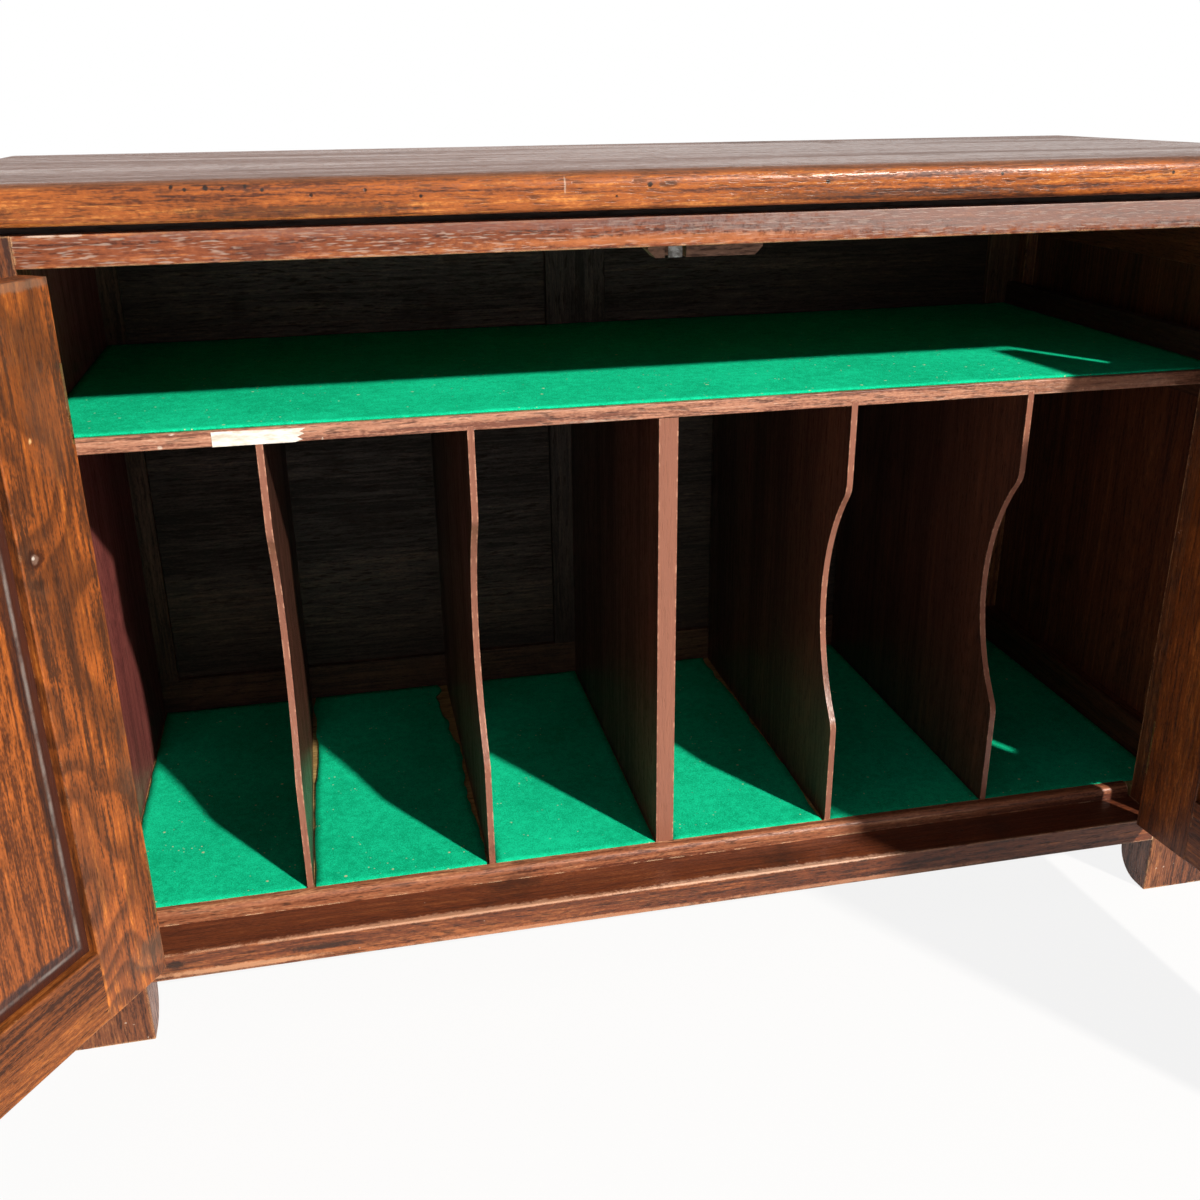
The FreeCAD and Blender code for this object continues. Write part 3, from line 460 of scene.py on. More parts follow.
class NodeGroups:
    """The effects that several finishes share, each a node group that is built once."""

    def __init__(self) -> None:
        """Builds every group."""
        self.grain = self._grain()
        self.wear = self._wear()
        self.grime = self._grime()
        self.dents = self._dents()
        self.mark = self._mark()
        self.border = self._border()
        self.felt = self._felt()

    @staticmethod
    def _start(name: str, inputs: dict[str, str],
               outputs: dict[str, str]) -> tuple[Graph, dict, bpy.types.Node]:
        """Starts a node group.

        Args:
            name: The group's name.
            inputs: Input name to socket type.
            outputs: Output name to socket type.

        Returns:
            The group's graph, its input sockets by name, and its output node.
        """
        tree = bpy.data.node_groups.new(name, "ShaderNodeTree")
        for label, kind in inputs.items():
            tree.interface.new_socket(label, in_out="INPUT", socket_type="NodeSocket" + kind)
        for label, kind in outputs.items():
            tree.interface.new_socket(label, in_out="OUTPUT", socket_type="NodeSocket" + kind)
        entry = tree.nodes.new("NodeGroupInput")
        leave = tree.nodes.new("NodeGroupOutput")
        return Graph(tree), {s.name: s for s in entry.outputs if s.name}, leave

    def _grain(self) -> bpy.types.NodeTree:
        """Builds the oak grain along X: growth rings, dark figure, pores and their relief."""
        graph, given, leave = self._start(
            "oak_grain",
            {"Vector": "Vector", "Rings": "Float", "Figure": "Float", "Seed": "Float"},
            {"Band": "Float", "Ring": "Float", "Flame": "Float", "Pore": "Float", "Height": "Float"},
        )
        shift = graph.add("CombineXYZ", {0: given["Seed"], 1: given["Seed"], 2: given["Seed"]}).outputs[0]
        board = graph.add("VectorMath", {0: given["Vector"], 1: shift}, operation="ADD").outputs[0]
        bend = graph.calc("ADD", graph.calc("MULTIPLY", given["Figure"], 7.0), 0.5)
        wander = graph.add("CombineXYZ", {0: bend, 1: 11.0, 2: 11.0}).outputs[0]
        sawn = graph.add("VectorMath", {0: board, 1: wander}, operation="MULTIPLY").outputs[0]
        field = graph.mottle(sawn, (1.0, 1.0, 1.0), detail=1.6, rough=0.45)
        streak = graph.mottle(board, (34.0, 420.0, 420.0), detail=4.0, rough=0.72)
        field = graph.calc("ADD", field, graph.calc("MULTIPLY", streak, 0.035))
        turn = graph.calc("FRACT", graph.calc("MULTIPLY", field, given["Rings"]))
        late = graph.spread(turn, 0.0, 0.7)
        ring = graph.calc("MULTIPLY", late, graph.spread(turn, 1.0, 0.8))
        tone = graph.spread(graph.mottle(board, (1.6, 24.0, 24.0), detail=4.0, rough=0.6), 0.3, 0.7)
        fibre = graph.spread(streak, 0.3, 0.7)
        grit = graph.spread(graph.mottle(board, (330.0, 800.0, 800.0), detail=2.0), 0.3, 0.7)
        line = graph.spread(graph.mottle(board, (5.0, 300.0, 300.0), detail=3.0, rough=0.6), 0.32, 0.68)
        band = graph.calc("ADD", graph.calc("MULTIPLY", tone, 0.36), graph.calc("MULTIPLY", fibre, 0.27))
        band = graph.calc("ADD", band, graph.calc("MULTIPLY", line, 0.27))
        band = graph.calc("ADD", band, graph.calc("MULTIPLY", grit, 0.16))
        flame = graph.mottle(board, (9.0, 24.0, 24.0), detail=6.0, twist=1.1, rough=0.62)
        flame = graph.spread(graph.calc("ADD", flame, graph.calc("MULTIPLY", fibre, 0.07)), 0.62, 0.44)
        open_pore = graph.spread(graph.mottle(board, (100.0, 820.0, 820.0), detail=1.5), 0.52, 0.64)
        early = graph.spread(ring, 1.0, 0.0, (0.4, 1.0))
        pore = graph.calc("MULTIPLY", open_pore, early)
        height = graph.calc("SUBTRACT", graph.calc("MULTIPLY", band, 0.6), graph.calc("MULTIPLY", pore, 0.7))
        for name, socket in (("Band", band), ("Ring", graph.calc("SUBTRACT", 1.0, ring)),
                             ("Flame", flame), ("Pore", pore), ("Height", height)):
            graph.tree.links.new(socket, leave.inputs[name])
        return graph.tree

    def _wear(self) -> bpy.types.NodeTree:
        """Builds the mask of rubbed and chipped arrises."""
        graph, given, leave = self._start(
            "arris_wear", {"Vector": "Vector", "Amount": "Float"}, {"Mask": "Float"}
        )
        bevel = graph.add("Bevel", {"Radius": 2.2 * MM}, samples=4).outputs[0]
        true_normal = graph.add("NewGeometry").outputs["True Normal"]
        level = graph.add("VectorMath", {0: bevel, 1: true_normal}, operation="DOT_PRODUCT").outputs["Value"]
        edge = graph.spread(graph.calc("SUBTRACT", 1.0, level), 0.01, 0.16)
        patch = graph.mottle(given["Vector"], (55.0, 120.0, 120.0), detail=5.0, rough=0.7)
        limit = graph.spread(given["Amount"], 0.0, 1.0, (0.72, 0.42))
        broken = graph.spread(graph.calc("SUBTRACT", patch, limit), -0.03, 0.06)
        graph.tree.links.new(graph.calc("MULTIPLY", edge, broken), leave.inputs["Mask"])
        return graph.tree

    def _grime(self) -> bpy.types.NodeTree:
        """Builds the masks of old dirt and of small pale specks."""
        graph, given, leave = self._start(
            "old_grime", {"Vector": "Vector", "Amount": "Float", "Specks": "Float"},
            {"Dirt": "Float", "Speck": "Float"},
        )
        cloud = graph.mottle(given["Vector"], (11.0, 11.0, 11.0), detail=7.0, rough=0.68)
        limit = graph.spread(given["Amount"], 0.0, 1.0, (0.74, 0.4))
        dirt = graph.spread(graph.calc("SUBTRACT", cloud, limit), -0.06, 0.16)
        wobble = graph.add("TexNoise", {"Vector": given["Vector"], "Scale": 420.0, "Detail": 2.0}).outputs[1]
        wobble = graph.add("VectorMath", {0: wobble, 1: (4.0 * MM,) * 3}, operation="MULTIPLY").outputs[0]
        torn = graph.add("VectorMath", {0: given["Vector"], 1: wobble}, operation="ADD").outputs[0]
        cells = graph.add("TexVoronoi", {"Vector": torn, "Scale": 170.0, "Randomness": 1.0})
        near = graph.spread(cells.outputs["Distance"], 0.15, 0.06)
        few = graph.mottle(given["Vector"], (95.0, 95.0, 95.0), detail=2.0)
        least = graph.spread(given["Specks"], 0.0, 1.0, (0.8, 0.52))
        rare = graph.spread(graph.calc("SUBTRACT", few, least), 0.0, 0.03)
        graph.tree.links.new(dirt, leave.inputs["Dirt"])
        graph.tree.links.new(graph.calc("MULTIPLY", near, rare), leave.inputs["Speck"])
        return graph.tree

    def _dents(self) -> bpy.types.NodeTree:
        """Builds the mask of scattered worm holes and small dents."""
        graph, given, leave = self._start(
            "worm_holes", {"Vector": "Vector", "Amount": "Float"}, {"Mask": "Float"}
        )
        cells = graph.add("TexVoronoi", {"Vector": given["Vector"], "Scale": 105.0, "Randomness": 1.0})
        near = graph.spread(cells.outputs["Distance"], 0.15, 0.07)
        few = graph.mottle(given["Vector"], (34.0, 34.0, 34.0), detail=3.0)
        least = graph.spread(given["Amount"], 0.0, 1.0, (0.78, 0.5))
        rare = graph.spread(graph.calc("SUBTRACT", few, least), 0.0, 0.03)
        graph.tree.links.new(graph.calc("MULTIPLY", near, rare), leave.inputs["Mask"])
        return graph.tree

    def _mark(self) -> bpy.types.NodeTree:
        """Builds the mask of one ragged mark round a centre."""
        graph, given, leave = self._start(
            "local_mark", {"Vector": "Vector", "Centre": "Vector", "Radii": "Vector"}, {"Mask": "Float"}
        )
        away = graph.add("VectorMath", {0: given["Vector"], 1: given["Centre"]}, operation="SUBTRACT").outputs[0]
        scaled = graph.add("VectorMath", {0: away, 1: given["Radii"]}, operation="DIVIDE").outputs[0]
        reach = graph.add("VectorMath", {0: scaled}, operation="LENGTH").outputs["Value"]
        ragged = graph.mottle(given["Vector"], (210.0, 210.0, 210.0), detail=6.0, rough=0.75)
        edge = graph.calc("ADD", reach, graph.calc("MULTIPLY", graph.calc("SUBTRACT", ragged, 0.5), 2.0))
        graph.tree.links.new(graph.spread(edge, 1.25, 0.55), leave.inputs["Mask"])
        return graph.tree

    def _border(self) -> bpy.types.NodeTree:
        """Builds the distance out from an upright rectangle, negative inside it."""
        graph, given, leave = self._start(
            "field_border", {"Vector": "Vector", "Centre": "Vector", "Half": "Vector"}, {"Distance": "Float"}
        )
        away = graph.add("VectorMath", {0: given["Vector"], 1: given["Centre"]}, operation="SUBTRACT").outputs[0]
        span = graph.add("VectorMath", {0: away}, operation="ABSOLUTE").outputs[0]
        out = graph.add("VectorMath", {0: span, 1: given["Half"]}, operation="SUBTRACT").outputs[0]
        parts = graph.add("SeparateXYZ", {0: out}).outputs
        graph.tree.links.new(graph.calc("MAXIMUM", parts[0], parts[2]), leave.inputs["Distance"])
        return graph.tree

    def _felt(self) -> bpy.types.NodeTree:
        """Builds the felt's mottled shade, its lint and crumbs, and its fuzz."""
        graph, given, leave = self._start(
            "felt_fuzz", {"Vector": "Vector"}, {"Shade": "Float", "Lint": "Float", "Height": "Float"}
        )
        cloud = graph.mottle(given["Vector"], (13.0, 13.0, 13.0), detail=6.0, rough=0.65)
        blotch = graph.mottle(given["Vector"], (170.0, 170.0, 170.0), detail=3.0, rough=0.7)
        fuzz = graph.mottle(given["Vector"], (900.0, 900.0, 900.0), detail=3.0, rough=0.8)
        shade = graph.calc("ADD", graph.calc("MULTIPLY", cloud, 0.2), graph.calc("MULTIPLY", blotch, 0.25))
        shade = graph.calc("ADD", shade, graph.calc("MULTIPLY", fuzz, 0.55))
        lint = 0.0
        for scale, reach, least in ((240.0, 0.2, 0.6), (64.0, 0.1, 0.52)):
            cells = graph.add("TexVoronoi", {"Vector": given["Vector"], "Scale": scale, "Randomness": 1.0})
            near = graph.spread(cells.outputs["Distance"], reach, 0.4 * reach)
            few = graph.mottle(given["Vector"], (0.3 * scale, 0.3 * scale, 0.3 * scale), detail=2.0)
            crumb = graph.calc("MULTIPLY", near, graph.spread(few, least, least + 0.05))
            lint = graph.calc("MAXIMUM", lint, crumb)
        graph.tree.links.new(graph.spread(shade, 0.38, 0.62), leave.inputs["Shade"])
        graph.tree.links.new(lint, leave.inputs["Lint"])
        graph.tree.links.new(graph.calc("ADD", fuzz, blotch), leave.inputs["Height"])
        return graph.tree


@dataclass
class Placement:
    """How a piece lies against the closed cupboard, so that grain and marks turn with a door.

    Attributes:
        turn: Angle about Z that brings the piece back to the closed cupboard.
        axis: The point of the hinge axis, seen from above.
    """

    turn: float = 0.0
    axis: tuple[float, float] = (0.0, 0.0)

    def closed(self, graph: Graph) -> bpy.types.NodeSocket:
        """Gives coordinates of the closed cupboard.

        Args:
            graph: The material's graph.

        Returns:
            The socket that holds them.
        """
        place = graph.add("TexCoord").outputs["Object"]
        if not self.turn:
            return place
        pivot = Vector((*self.axis, 0.0))
        back = pivot - Matrix.Rotation(self.turn, 3, "Z") @ pivot
        sockets = {"Vector": place, "Location": tuple(back), "Rotation": (0.0, 0.0, self.turn)}
        return graph.add("Mapping", sockets).outputs[0]


class Workshop:
    """Makes the materials and puts them on pieces."""

    def __init__(self) -> None:
        """Builds the shared node groups."""
        self.groups = NodeGroups()
        self.seed = 0.0

    def group(self, graph: Graph, tree: bpy.types.NodeTree, inputs: dict) -> bpy.types.Node:
        """Places a shared group.

        Args:
            graph: The material's graph.
            tree: The group.
            inputs: Values or sockets for its inputs.

        Returns:
            The group node.
        """
        node = graph.tree.nodes.new("ShaderNodeGroup")
        node.node_tree = tree
        for key, value in inputs.items():
            if isinstance(value, bpy.types.NodeSocket):
                graph.tree.links.new(value, node.inputs[key])
            else:
                node.inputs[key].default_value = value
        return node

    def blank(self, name: str) -> tuple[bpy.types.Material, Graph, bpy.types.Node]:
        """Starts a material.

        Args:
            name: Its name.

        Returns:
            The material, its graph and its Principled shader.
        """
        material = bpy.data.materials.new(name)
        material.use_nodes = True
        return material, Graph(material.node_tree), material.node_tree.nodes["Principled BSDF"]

    def oak(self, name: str, finish: OakFinish, grain: Grain, place: Placement,
            marks: tuple[Mark, ...] = (), raised: RaisedField | None = None) -> bpy.types.Material:
        """Makes one piece's oak.

        Args:
            name: The material's name.
            finish: Its colours and wear.
            grain: The direction of its grain.
            place: How the piece lies.
            marks: Stains, scratches and painted light or shade at known places.
            raised: The piece's raised field, if it has one.

        Returns:
            The material.
        """
        material, graph, shader = self.blank(name)
        self.seed += 1.37
        closed = place.closed(graph)
        board = graph.add("Mapping", {"Vector": closed, "Rotation": grain.value}).outputs[0]
        wood = self.group(graph, self.groups.grain, {
            "Vector": board, "Rings": finish.rings, "Figure": finish.figure, "Seed": self.seed,
        }).outputs
        colour = graph.blend(graph.spread(wood["Band"], 0.24, 0.56), finish.deep, finish.base)
        colour = graph.blend(graph.spread(wood["Band"], 0.56, 0.88), colour, finish.light)
        colour = graph.blend(graph.calc("MULTIPLY", wood["Ring"], finish.ring_depth), colour, finish.deep)
        if finish.flame:
            colour = graph.blend(graph.calc("MULTIPLY", wood["Flame"], finish.flame), colour, finish.deep)
        colour = graph.blend(graph.calc("MULTIPLY", wood["Pore"], finish.pores), colour, finish.pore)
        if finish.facing_share:
            normal = graph.add("NewGeometry").outputs["True Normal"]
            sockets = {0: normal, 1: finish.facing}
            level = graph.add("VectorMath", sockets, operation="DOT_PRODUCT").outputs["Value"]
            share = graph.spread(level, 0.5, 0.9, (0.0, finish.facing_share))
            colour = graph.blend(share, colour, finish.faced)
        dirty = self.group(graph, self.groups.grime, {
            "Vector": closed, "Amount": finish.grime, "Specks": finish.specks,
        }).outputs
        colour = graph.blend(graph.calc("MULTIPLY", dirty["Dirt"], 0.75), colour, finish.dirt)
        worn = self.group(graph, self.groups.wear, {"Vector": closed, "Amount": finish.wear}).outputs[0]
        colour = graph.blend(graph.calc("MULTIPLY", worn, 0.85), colour, finish.worn)
        colour = graph.blend(graph.calc("MULTIPLY", dirty["Speck"], 0.6), colour, CHALKY)
        # Painted shade round the raised field, and a painted highlight on its ridge.
        if raised:
            colour = self.paint_field_light(graph, closed, colour, raised)
        holes = self.group(graph, self.groups.dents, {"Vector": closed, "Amount": finish.dents}).outputs[0]
        colour = graph.blend(graph.calc("MULTIPLY", holes, 0.9), colour, HOLE)
        for mark in marks:
            mask = self.group(graph, self.groups.mark, {
                "Vector": closed, "Centre": mark.centre, "Radii": mark.radii,
            }).outputs[0]
            colour = graph.blend(graph.calc("MULTIPLY", mask, mark.strength), colour, mark.colour)
        graph.tree.links.new(colour, shader.inputs["Base Color"])
        dull = graph.calc("MAXIMUM", graph.calc("MAXIMUM", dirty["Dirt"], wood["Pore"]), worn)
        dull = graph.calc("MAXIMUM", dull, graph.spread(wood["Band"], 0.7, 0.3, (0.0, 0.6)))
        graph.tree.links.new(graph.spread(dull, 0.0, 1.0, finish.gloss), shader.inputs["Roughness"])
        shader.inputs["Specular IOR Level"].default_value = finish.shine
        shader.inputs["Coat Weight"].default_value = finish.coat
        shader.inputs["Coat Roughness"].default_value = 0.22
        relief = graph.calc("SUBTRACT", wood["Height"], holes)
        bump = graph.add("Bump", {"Strength": finish.bump, "Distance": 0.6 * MM, "Height": relief})
        graph.tree.links.new(bump.outputs[0], shader.inputs["Normal"])
        return material

    def paint_field_light(self, graph: Graph, closed: bpy.types.NodeSocket, colour: bpy.types.NodeSocket,
                 raised: RaisedField) -> bpy.types.NodeSocket:
        """Paints shade on the slope and in the hollow round a raised field, and a highlight on its ridge.

        Args:
            graph: The material's graph.
            closed: Coordinates of the closed cupboard.
            colour: The wood's colour.
            raised: The field.

        Returns:
            The socket that holds the new colour.
        """
        half = (raised.half[0], 1.0, raised.half[1])
        sockets = {"Vector": closed, "Centre": raised.centre, "Half": half}
        out = self.group(graph, self.groups.border, sockets).outputs[0]
        uneven = graph.mottle(closed, (60.0, 60.0, 60.0), detail=5.0, rough=0.65)
        edge = graph.calc("ADD", out, graph.calc("MULTIPLY", graph.calc("SUBTRACT", uneven, 0.5), 7.0 * MM))
        # Painted shade on the slope beside the field and in the hollow beside the frame.
        colour = graph.blend(graph.spread(edge, -2.0 * MM, 2.5 * MM, (0.0, 0.8)), colour, raised.slope)
        place = raised.highlight_offset
        colour = graph.blend(graph.spread(out, place, place + 2.0 * MM, (0.0, 0.8)), colour, raised.recess_shade)
        # Painted highlight along the ridge between slope and hollow.
        near = graph.calc("ABSOLUTE", graph.calc("SUBTRACT", out, place))
        highlight_mask = graph.spread(near, 2.6 * MM, 0.2 * MM)
        patchy = graph.spread(uneven, 0.35, 0.65, (0.12, 0.6))
        return graph.blend(graph.calc("MULTIPLY", highlight_mask, patchy), colour, raised.highlight_colour)

    def metal(self, name: str, colour: Colour, tarnish: Colour, rough: tuple[float, float]) -> bpy.types.Material:
        """Makes an old metal.

        Args:
            name: The material's name.
            colour: The bright metal.
            tarnish: The dull layer over it.
            rough: Roughness of bright and of dull metal.

        Returns:
            The material.
        """
        material, graph, shader = self.blank(name)
        place = graph.add("TexCoord").outputs["Object"]
        cloud = graph.mottle(place, (140.0, 140.0, 140.0), detail=6.0, rough=0.7)
        dull = graph.spread(cloud, 0.38, 0.6)
        graph.tree.links.new(graph.blend(dull, colour, tarnish), shader.inputs["Base Color"])
        graph.tree.links.new(graph.spread(dull, 0.0, 1.0, rough), shader.inputs["Roughness"])
        graph.tree.links.new(graph.spread(dull, 0.0, 1.0, (1.0, 0.55)), shader.inputs["Metallic"])
        bump = graph.add("Bump", {"Strength": 0.3, "Distance": 0.2 * MM, "Height": cloud})
        graph.tree.links.new(bump.outputs[0], shader.inputs["Normal"])
        return material

    def felt(self, name: str, deep: Colour, light: Colour) -> bpy.types.Material:
        """Makes the baize.

        Args:
            name: The material's name.
            deep: Colour of the flattened nap.
            light: Colour of the raised nap.

        Returns:
            The material.
        """
        material, graph, shader = self.blank(name)
        place = graph.add("TexCoord").outputs["Object"]
        nap = self.group(graph, self.groups.felt, {"Vector": place}).outputs
        colour = graph.blend(nap["Shade"], deep, light)
        colour = graph.blend(graph.calc("MULTIPLY", nap["Lint"], 0.85), colour, linear(216, 212, 166))
        graph.tree.links.new(colour, shader.inputs["Base Color"])
        shader.inputs["Roughness"].default_value = 0.95
        shader.inputs["Specular IOR Level"].default_value = 0.04
        shader.inputs["Sheen Weight"].default_value = 0.12
        shader.inputs["Sheen Roughness"].default_value = 0.45
        shader.inputs["Sheen Tint"].default_value = (*linear(20, 230, 160), 1.0)
        bump = graph.add("Bump", {"Strength": 0.7, "Distance": 0.5 * MM, "Height": nap["Height"]})
        graph.tree.links.new(bump.outputs[0], shader.inputs["Normal"])
        return material

    def tape(self, name: str) -> bpy.types.Material:
        """Makes the old white tape."""
        material, graph, shader = self.blank(name)
        place = graph.add("TexCoord").outputs["Object"]
        crease = graph.mottle(place, (60.0, 60.0, 260.0), detail=5.0, rough=0.65)
        shade = graph.spread(crease, 0.35, 0.65)
        graph.tree.links.new(graph.blend(shade, linear(198, 190, 176), linear(240, 238, 232)),
                             shader.inputs["Base Color"])
        shader.inputs["Roughness"].default_value = 0.55
        bump = graph.add("Bump", {"Strength": 0.5, "Distance": 0.3 * MM, "Height": crease})
        graph.tree.links.new(bump.outputs[0], shader.inputs["Normal"])
        return material

    @staticmethod
    def dress(piece: bpy.types.Object, material: bpy.types.Material) -> None:
        """Puts a material on every slot of a piece.

        Args:
            piece: The piece.
            material: The material.
        """
        piece.data.materials.clear()
        piece.data.materials.append(material)


@dataclass
class Woodwork:
    """The wooden pieces of one body: each node's finish, grain and marks.

    Attributes:
        place: How the body lies at rest.
        pieces: Node name to its finish and grain.
        marks: Node name to its marks.
        raised: Node name to its raised field.
    """

    place: Placement
    pieces: dict[str, tuple[OakFinish, Grain]]
    marks: dict[str, tuple[Mark, ...]] = field(default_factory=dict)
    raised: dict[str, RaisedField] = field(default_factory=dict)

    def dress(self, shop: Workshop, nodes: dict[str, bpy.types.Object]) -> int:
        """Dresses the pieces.

        Args:
            shop: Where materials are made.
            nodes: The frame's nodes.

        Returns:
            The number of dressed pieces.
        """
        for name, (finish, grain) in self.pieces.items():
            wood = shop.oak(name + "_oak", finish, grain, self.place, self.marks.get(name, ()),
                            self.raised.get(name))
            shop.dress(nodes[name], wood)
            LOG.info("dressed %s", name)
        return len(self.pieces)


def carcass_woodwork() -> Woodwork:
    """Lists the finishes of the carcass and of everything fixed to it."""
    along = Grain.ALONG_X
    up = Grain.ALONG_Z
    pieces = {
        "top_board": (TOP_OAK, along), "top_fillet": (FILLET_PAINTED_SHADE_OAK, along),
        "front_top_rail": (RAIL_OAK, along), "front_bottom_rail": (SILL_OAK, along),
        "floor_bead": (BEAD_OAK, along), "shelf_board": (SHELF_WOOD, along),
        "bottom_board": (BOARD_WOOD, along), "bottom_bearers": (BACK_RAIL_OAK, along),
        "shelf_battens": (INNER_SHADED_OAK, Grain.ALONG_Y), "left_lining": (LINING_WOOD, up),
        "centre_partition": (DIVIDER_WOOD, up), "stop_block": (BLOCK_WOOD, along),
        "back_top_rail": (BACK_OAK, along), "back_bottom_rail": (BACK_RAIL_OAK, along),
        "back_left_panel": (BACK_OAK, along), "back_right_panel": (BACK_OAK, along),
        "back_left_stile": (BACK_RAIL_OAK, up), "back_muntin": (BACK_OAK, up),
        "back_right_stile": (BACK_RAIL_OAK, up),
    }
    for side in ("left", "right"):
        pieces[side + "_front_post"] = (POST_OAK, up)
        pieces[side + "_back_post"] = (POST_OAK, up)
        pieces[side + "_side_top_rail"] = (SIDE_OAK, Grain.ALONG_Y)
        pieces[side + "_side_bottom_rail"] = (SIDE_OAK, Grain.ALONG_Y)
        pieces[side + "_side_panel"] = (SIDE_OAK, up)
    for number in range(1, 5):
        pieces["divider_" + str(number)] = (DIVIDER_WOOD, up)
    marks = {"top_board": TOP_FLAWS_AND_REFLECTION, "front_top_rail": TOP_RAIL_MARKS, "front_bottom_rail": SILL_FLAWS_AND_HIGHLIGHT,
             "shelf_board": SHELF_CHIPS_AND_SHADOW, "left_lining": LINING_GREEN_BOUNCE}
    return Woodwork(Placement(), pieces, marks)


def door_woodwork(side: str, turn: float, axis: tuple[float, float]) -> Woodwork:
    """Lists the finishes of one door.

    Args:
        side: The word left or right.
        turn: Angle that closes the door.
        axis: Its hinge axis from above.

    Returns:
        The door's woodwork.
    """
    left = side == "left"
    # The right door takes the darker copy of the door oak, which is painted shade.
    stile = DOOR_STILE_OAK if left else RIGHT_DOOR_SHADED_OAK
    rail = DOOR_RAIL_OAK if left else RIGHT_DOOR_SHADED_OAK
    panel = PANEL_OAK if left else RIGHT_DOOR_SHADED_OAK
    pieces = {
        side + "_door_hinge_stile": (stile, Grain.ALONG_Z),
        side + "_door_meeting_stile": (stile, Grain.ALONG_Z),
        side + "_door_top_rail": (rail, Grain.ALONG_X),
        side + "_door_bottom_rail": (rail, Grain.ALONG_X),
        side + "_door_panel": (panel, Grain.ALONG_Z),
        side + "_door_knob": (rail, Grain.ALONG_Y),
    }
    marks = {"left_door_hinge_stile": STILE_FLAWS_AND_GLINT} if left else {}
    middle = at(-196.3 if left else 196.3, 0, 299.4)
    raised = {side + "_door_panel": RaisedField(middle, (124.5 * MM, 159.8 * MM))}
    return Woodwork(Placement(turn, axis), pieces, marks, raised)


@dataclass
class Metalwork:
    """Hinges, screws, bolt, latch and keep."""

    brass: tuple[str, ...] = (
        "hinge_post_leaves", "hinge_pins", "hinge_post_screws", "left_door_hinge_leaves",
        "left_door_hinge_screws", "right_door_hinge_leaves", "right_door_hinge_screws",
        "left_door_bolt", "left_door_bolt_case", "left_door_bolt_screws", "right_door_latch_arm",
    )
    steel: tuple[str, ...] = ("bolt_keep",)

    def dress(self, shop: Workshop, nodes: dict[str, bpy.types.Object]) -> None:
        """Dresses the metal pieces.

        Args:
            shop: Where materials are made.
            nodes: The frame's nodes.
        """
        brass = shop.metal("old_brass", linear(186, 150, 88), linear(104, 80, 52), (0.28, 0.55))
        steel = shop.metal("dull_steel", linear(150, 150, 146), linear(96, 94, 90), (0.35, 0.6))
        for name in self.brass:
            shop.dress(nodes[name], brass)
        for name in self.steel:
            shop.dress(nodes[name], steel)


@dataclass
class BaizeSheet:
    """One piece of baize, cut by hand and laid on a board.

    Attributes:
        name: Its name.
        low: Left front corner of its place on the board.
        high: Right back corner of its place.
        surface: Height of the board.
        rests_on: The board's node; not used.
        node: The CAD node that it stands for.
        short: How far each edge may fall short: left, right, front and back.
        thickness: The cloth's thickness.
        mesh_size: Distance between the points of the mesh.
        lift: How far the cloth wrinkles up.
    """

    name: str
    low: tuple[float, float]
    high: tuple[float, float]
    surface: float
    rests_on: str
    node: str
    short: tuple[float, float, float, float] = (0.8 * MM, 0.8 * MM, 0.4 * MM, 1.0 * MM)
    thickness: float = 1.3 * MM
    mesh_size: float = 6.0 * MM
    lift: float = 0.35 * MM

    def build(self, material: bpy.types.Material) -> bpy.types.Object:
        """Lays the sheet.

        Args:
            material: The baize.

        Returns:
            The sheet.
        """
        width = self.high[0] - self.low[0]
        depth = self.high[1] - self.low[1]
        mesh = bmesh.new()
        bmesh.ops.create_grid(
            mesh, x_segments=max(4, round(width / self.mesh_size)),
            y_segments=max(4, round(depth / self.mesh_size)), size=0.5,
        )
        for vertex in mesh.verts:
            self._place(vertex, width, depth)
        data = bpy.data.meshes.new(self.name)
        mesh.to_mesh(data)
        mesh.free()
        for polygon in data.polygons:
            polygon.use_smooth = True
        sheet = bpy.data.objects.new(self.name, data)
        bpy.context.scene.collection.objects.link(sheet)
        thick = sheet.modifiers.new("cloth_thickness", "SOLIDIFY")
        thick.thickness = self.thickness
        thick.offset = -1.0
        Workshop.dress(sheet, material)
        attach(sheet, "carcass")
        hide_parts(self.node)
        return sheet

    def _place(self, vertex: bmesh.types.BMVert, width: float, depth: float) -> None:
        """Moves one point of the unit grid to its place on the board.

        Args:
            vertex: The point.
            width: The sheet's width.
            depth: The sheet's depth.
        """
        across = vertex.co.x + 0.5
        back = vertex.co.y + 0.5
        x = self.low[0] + across * width
        y = self.low[1] + back * depth
        left, right, front, rear = (
            amount * self._ragged(x, y, index) for index, amount in enumerate(self.short)
        )
        widening = 0.35 + 0.65 * back
        x += (left * (1.0 - across) ** 8 - right * across ** 8) * widening
        y += front * (1.0 - back) ** 12 - rear * back ** 12
        ripple = noise.noise(Vector((x * 38.0, y * 38.0, self.low[0] * 9.0)))
        coarse = noise.noise(Vector((x * 9.0, y * 9.0, 4.0)))
        rise = self.lift * (0.5 + 0.5 * ripple) * (0.6 + coarse)
        vertex.co = Vector((x, y, self.surface + self.thickness + max(0.0, rise)))

    def _ragged(self, x: float, y: float, index: int) -> float:
        """Gives how far an edge is cut back at one place, 0 to 1.

        Args:
            x: The place across the cupboard.
            y: The place from front to back.
            index: Which edge.

        Returns:
            The share of the edge's full shortfall.
        """
        rough = noise.noise(Vector((x * 60.0, y * 60.0, 11.0 + index * 7.0)))
        slow = noise.noise(Vector((x * 12.0, y * 12.0, 31.0 + index * 5.0)))
        return min(1.0, max(0.0, 0.5 + 0.6 * slow + 0.4 * rough))


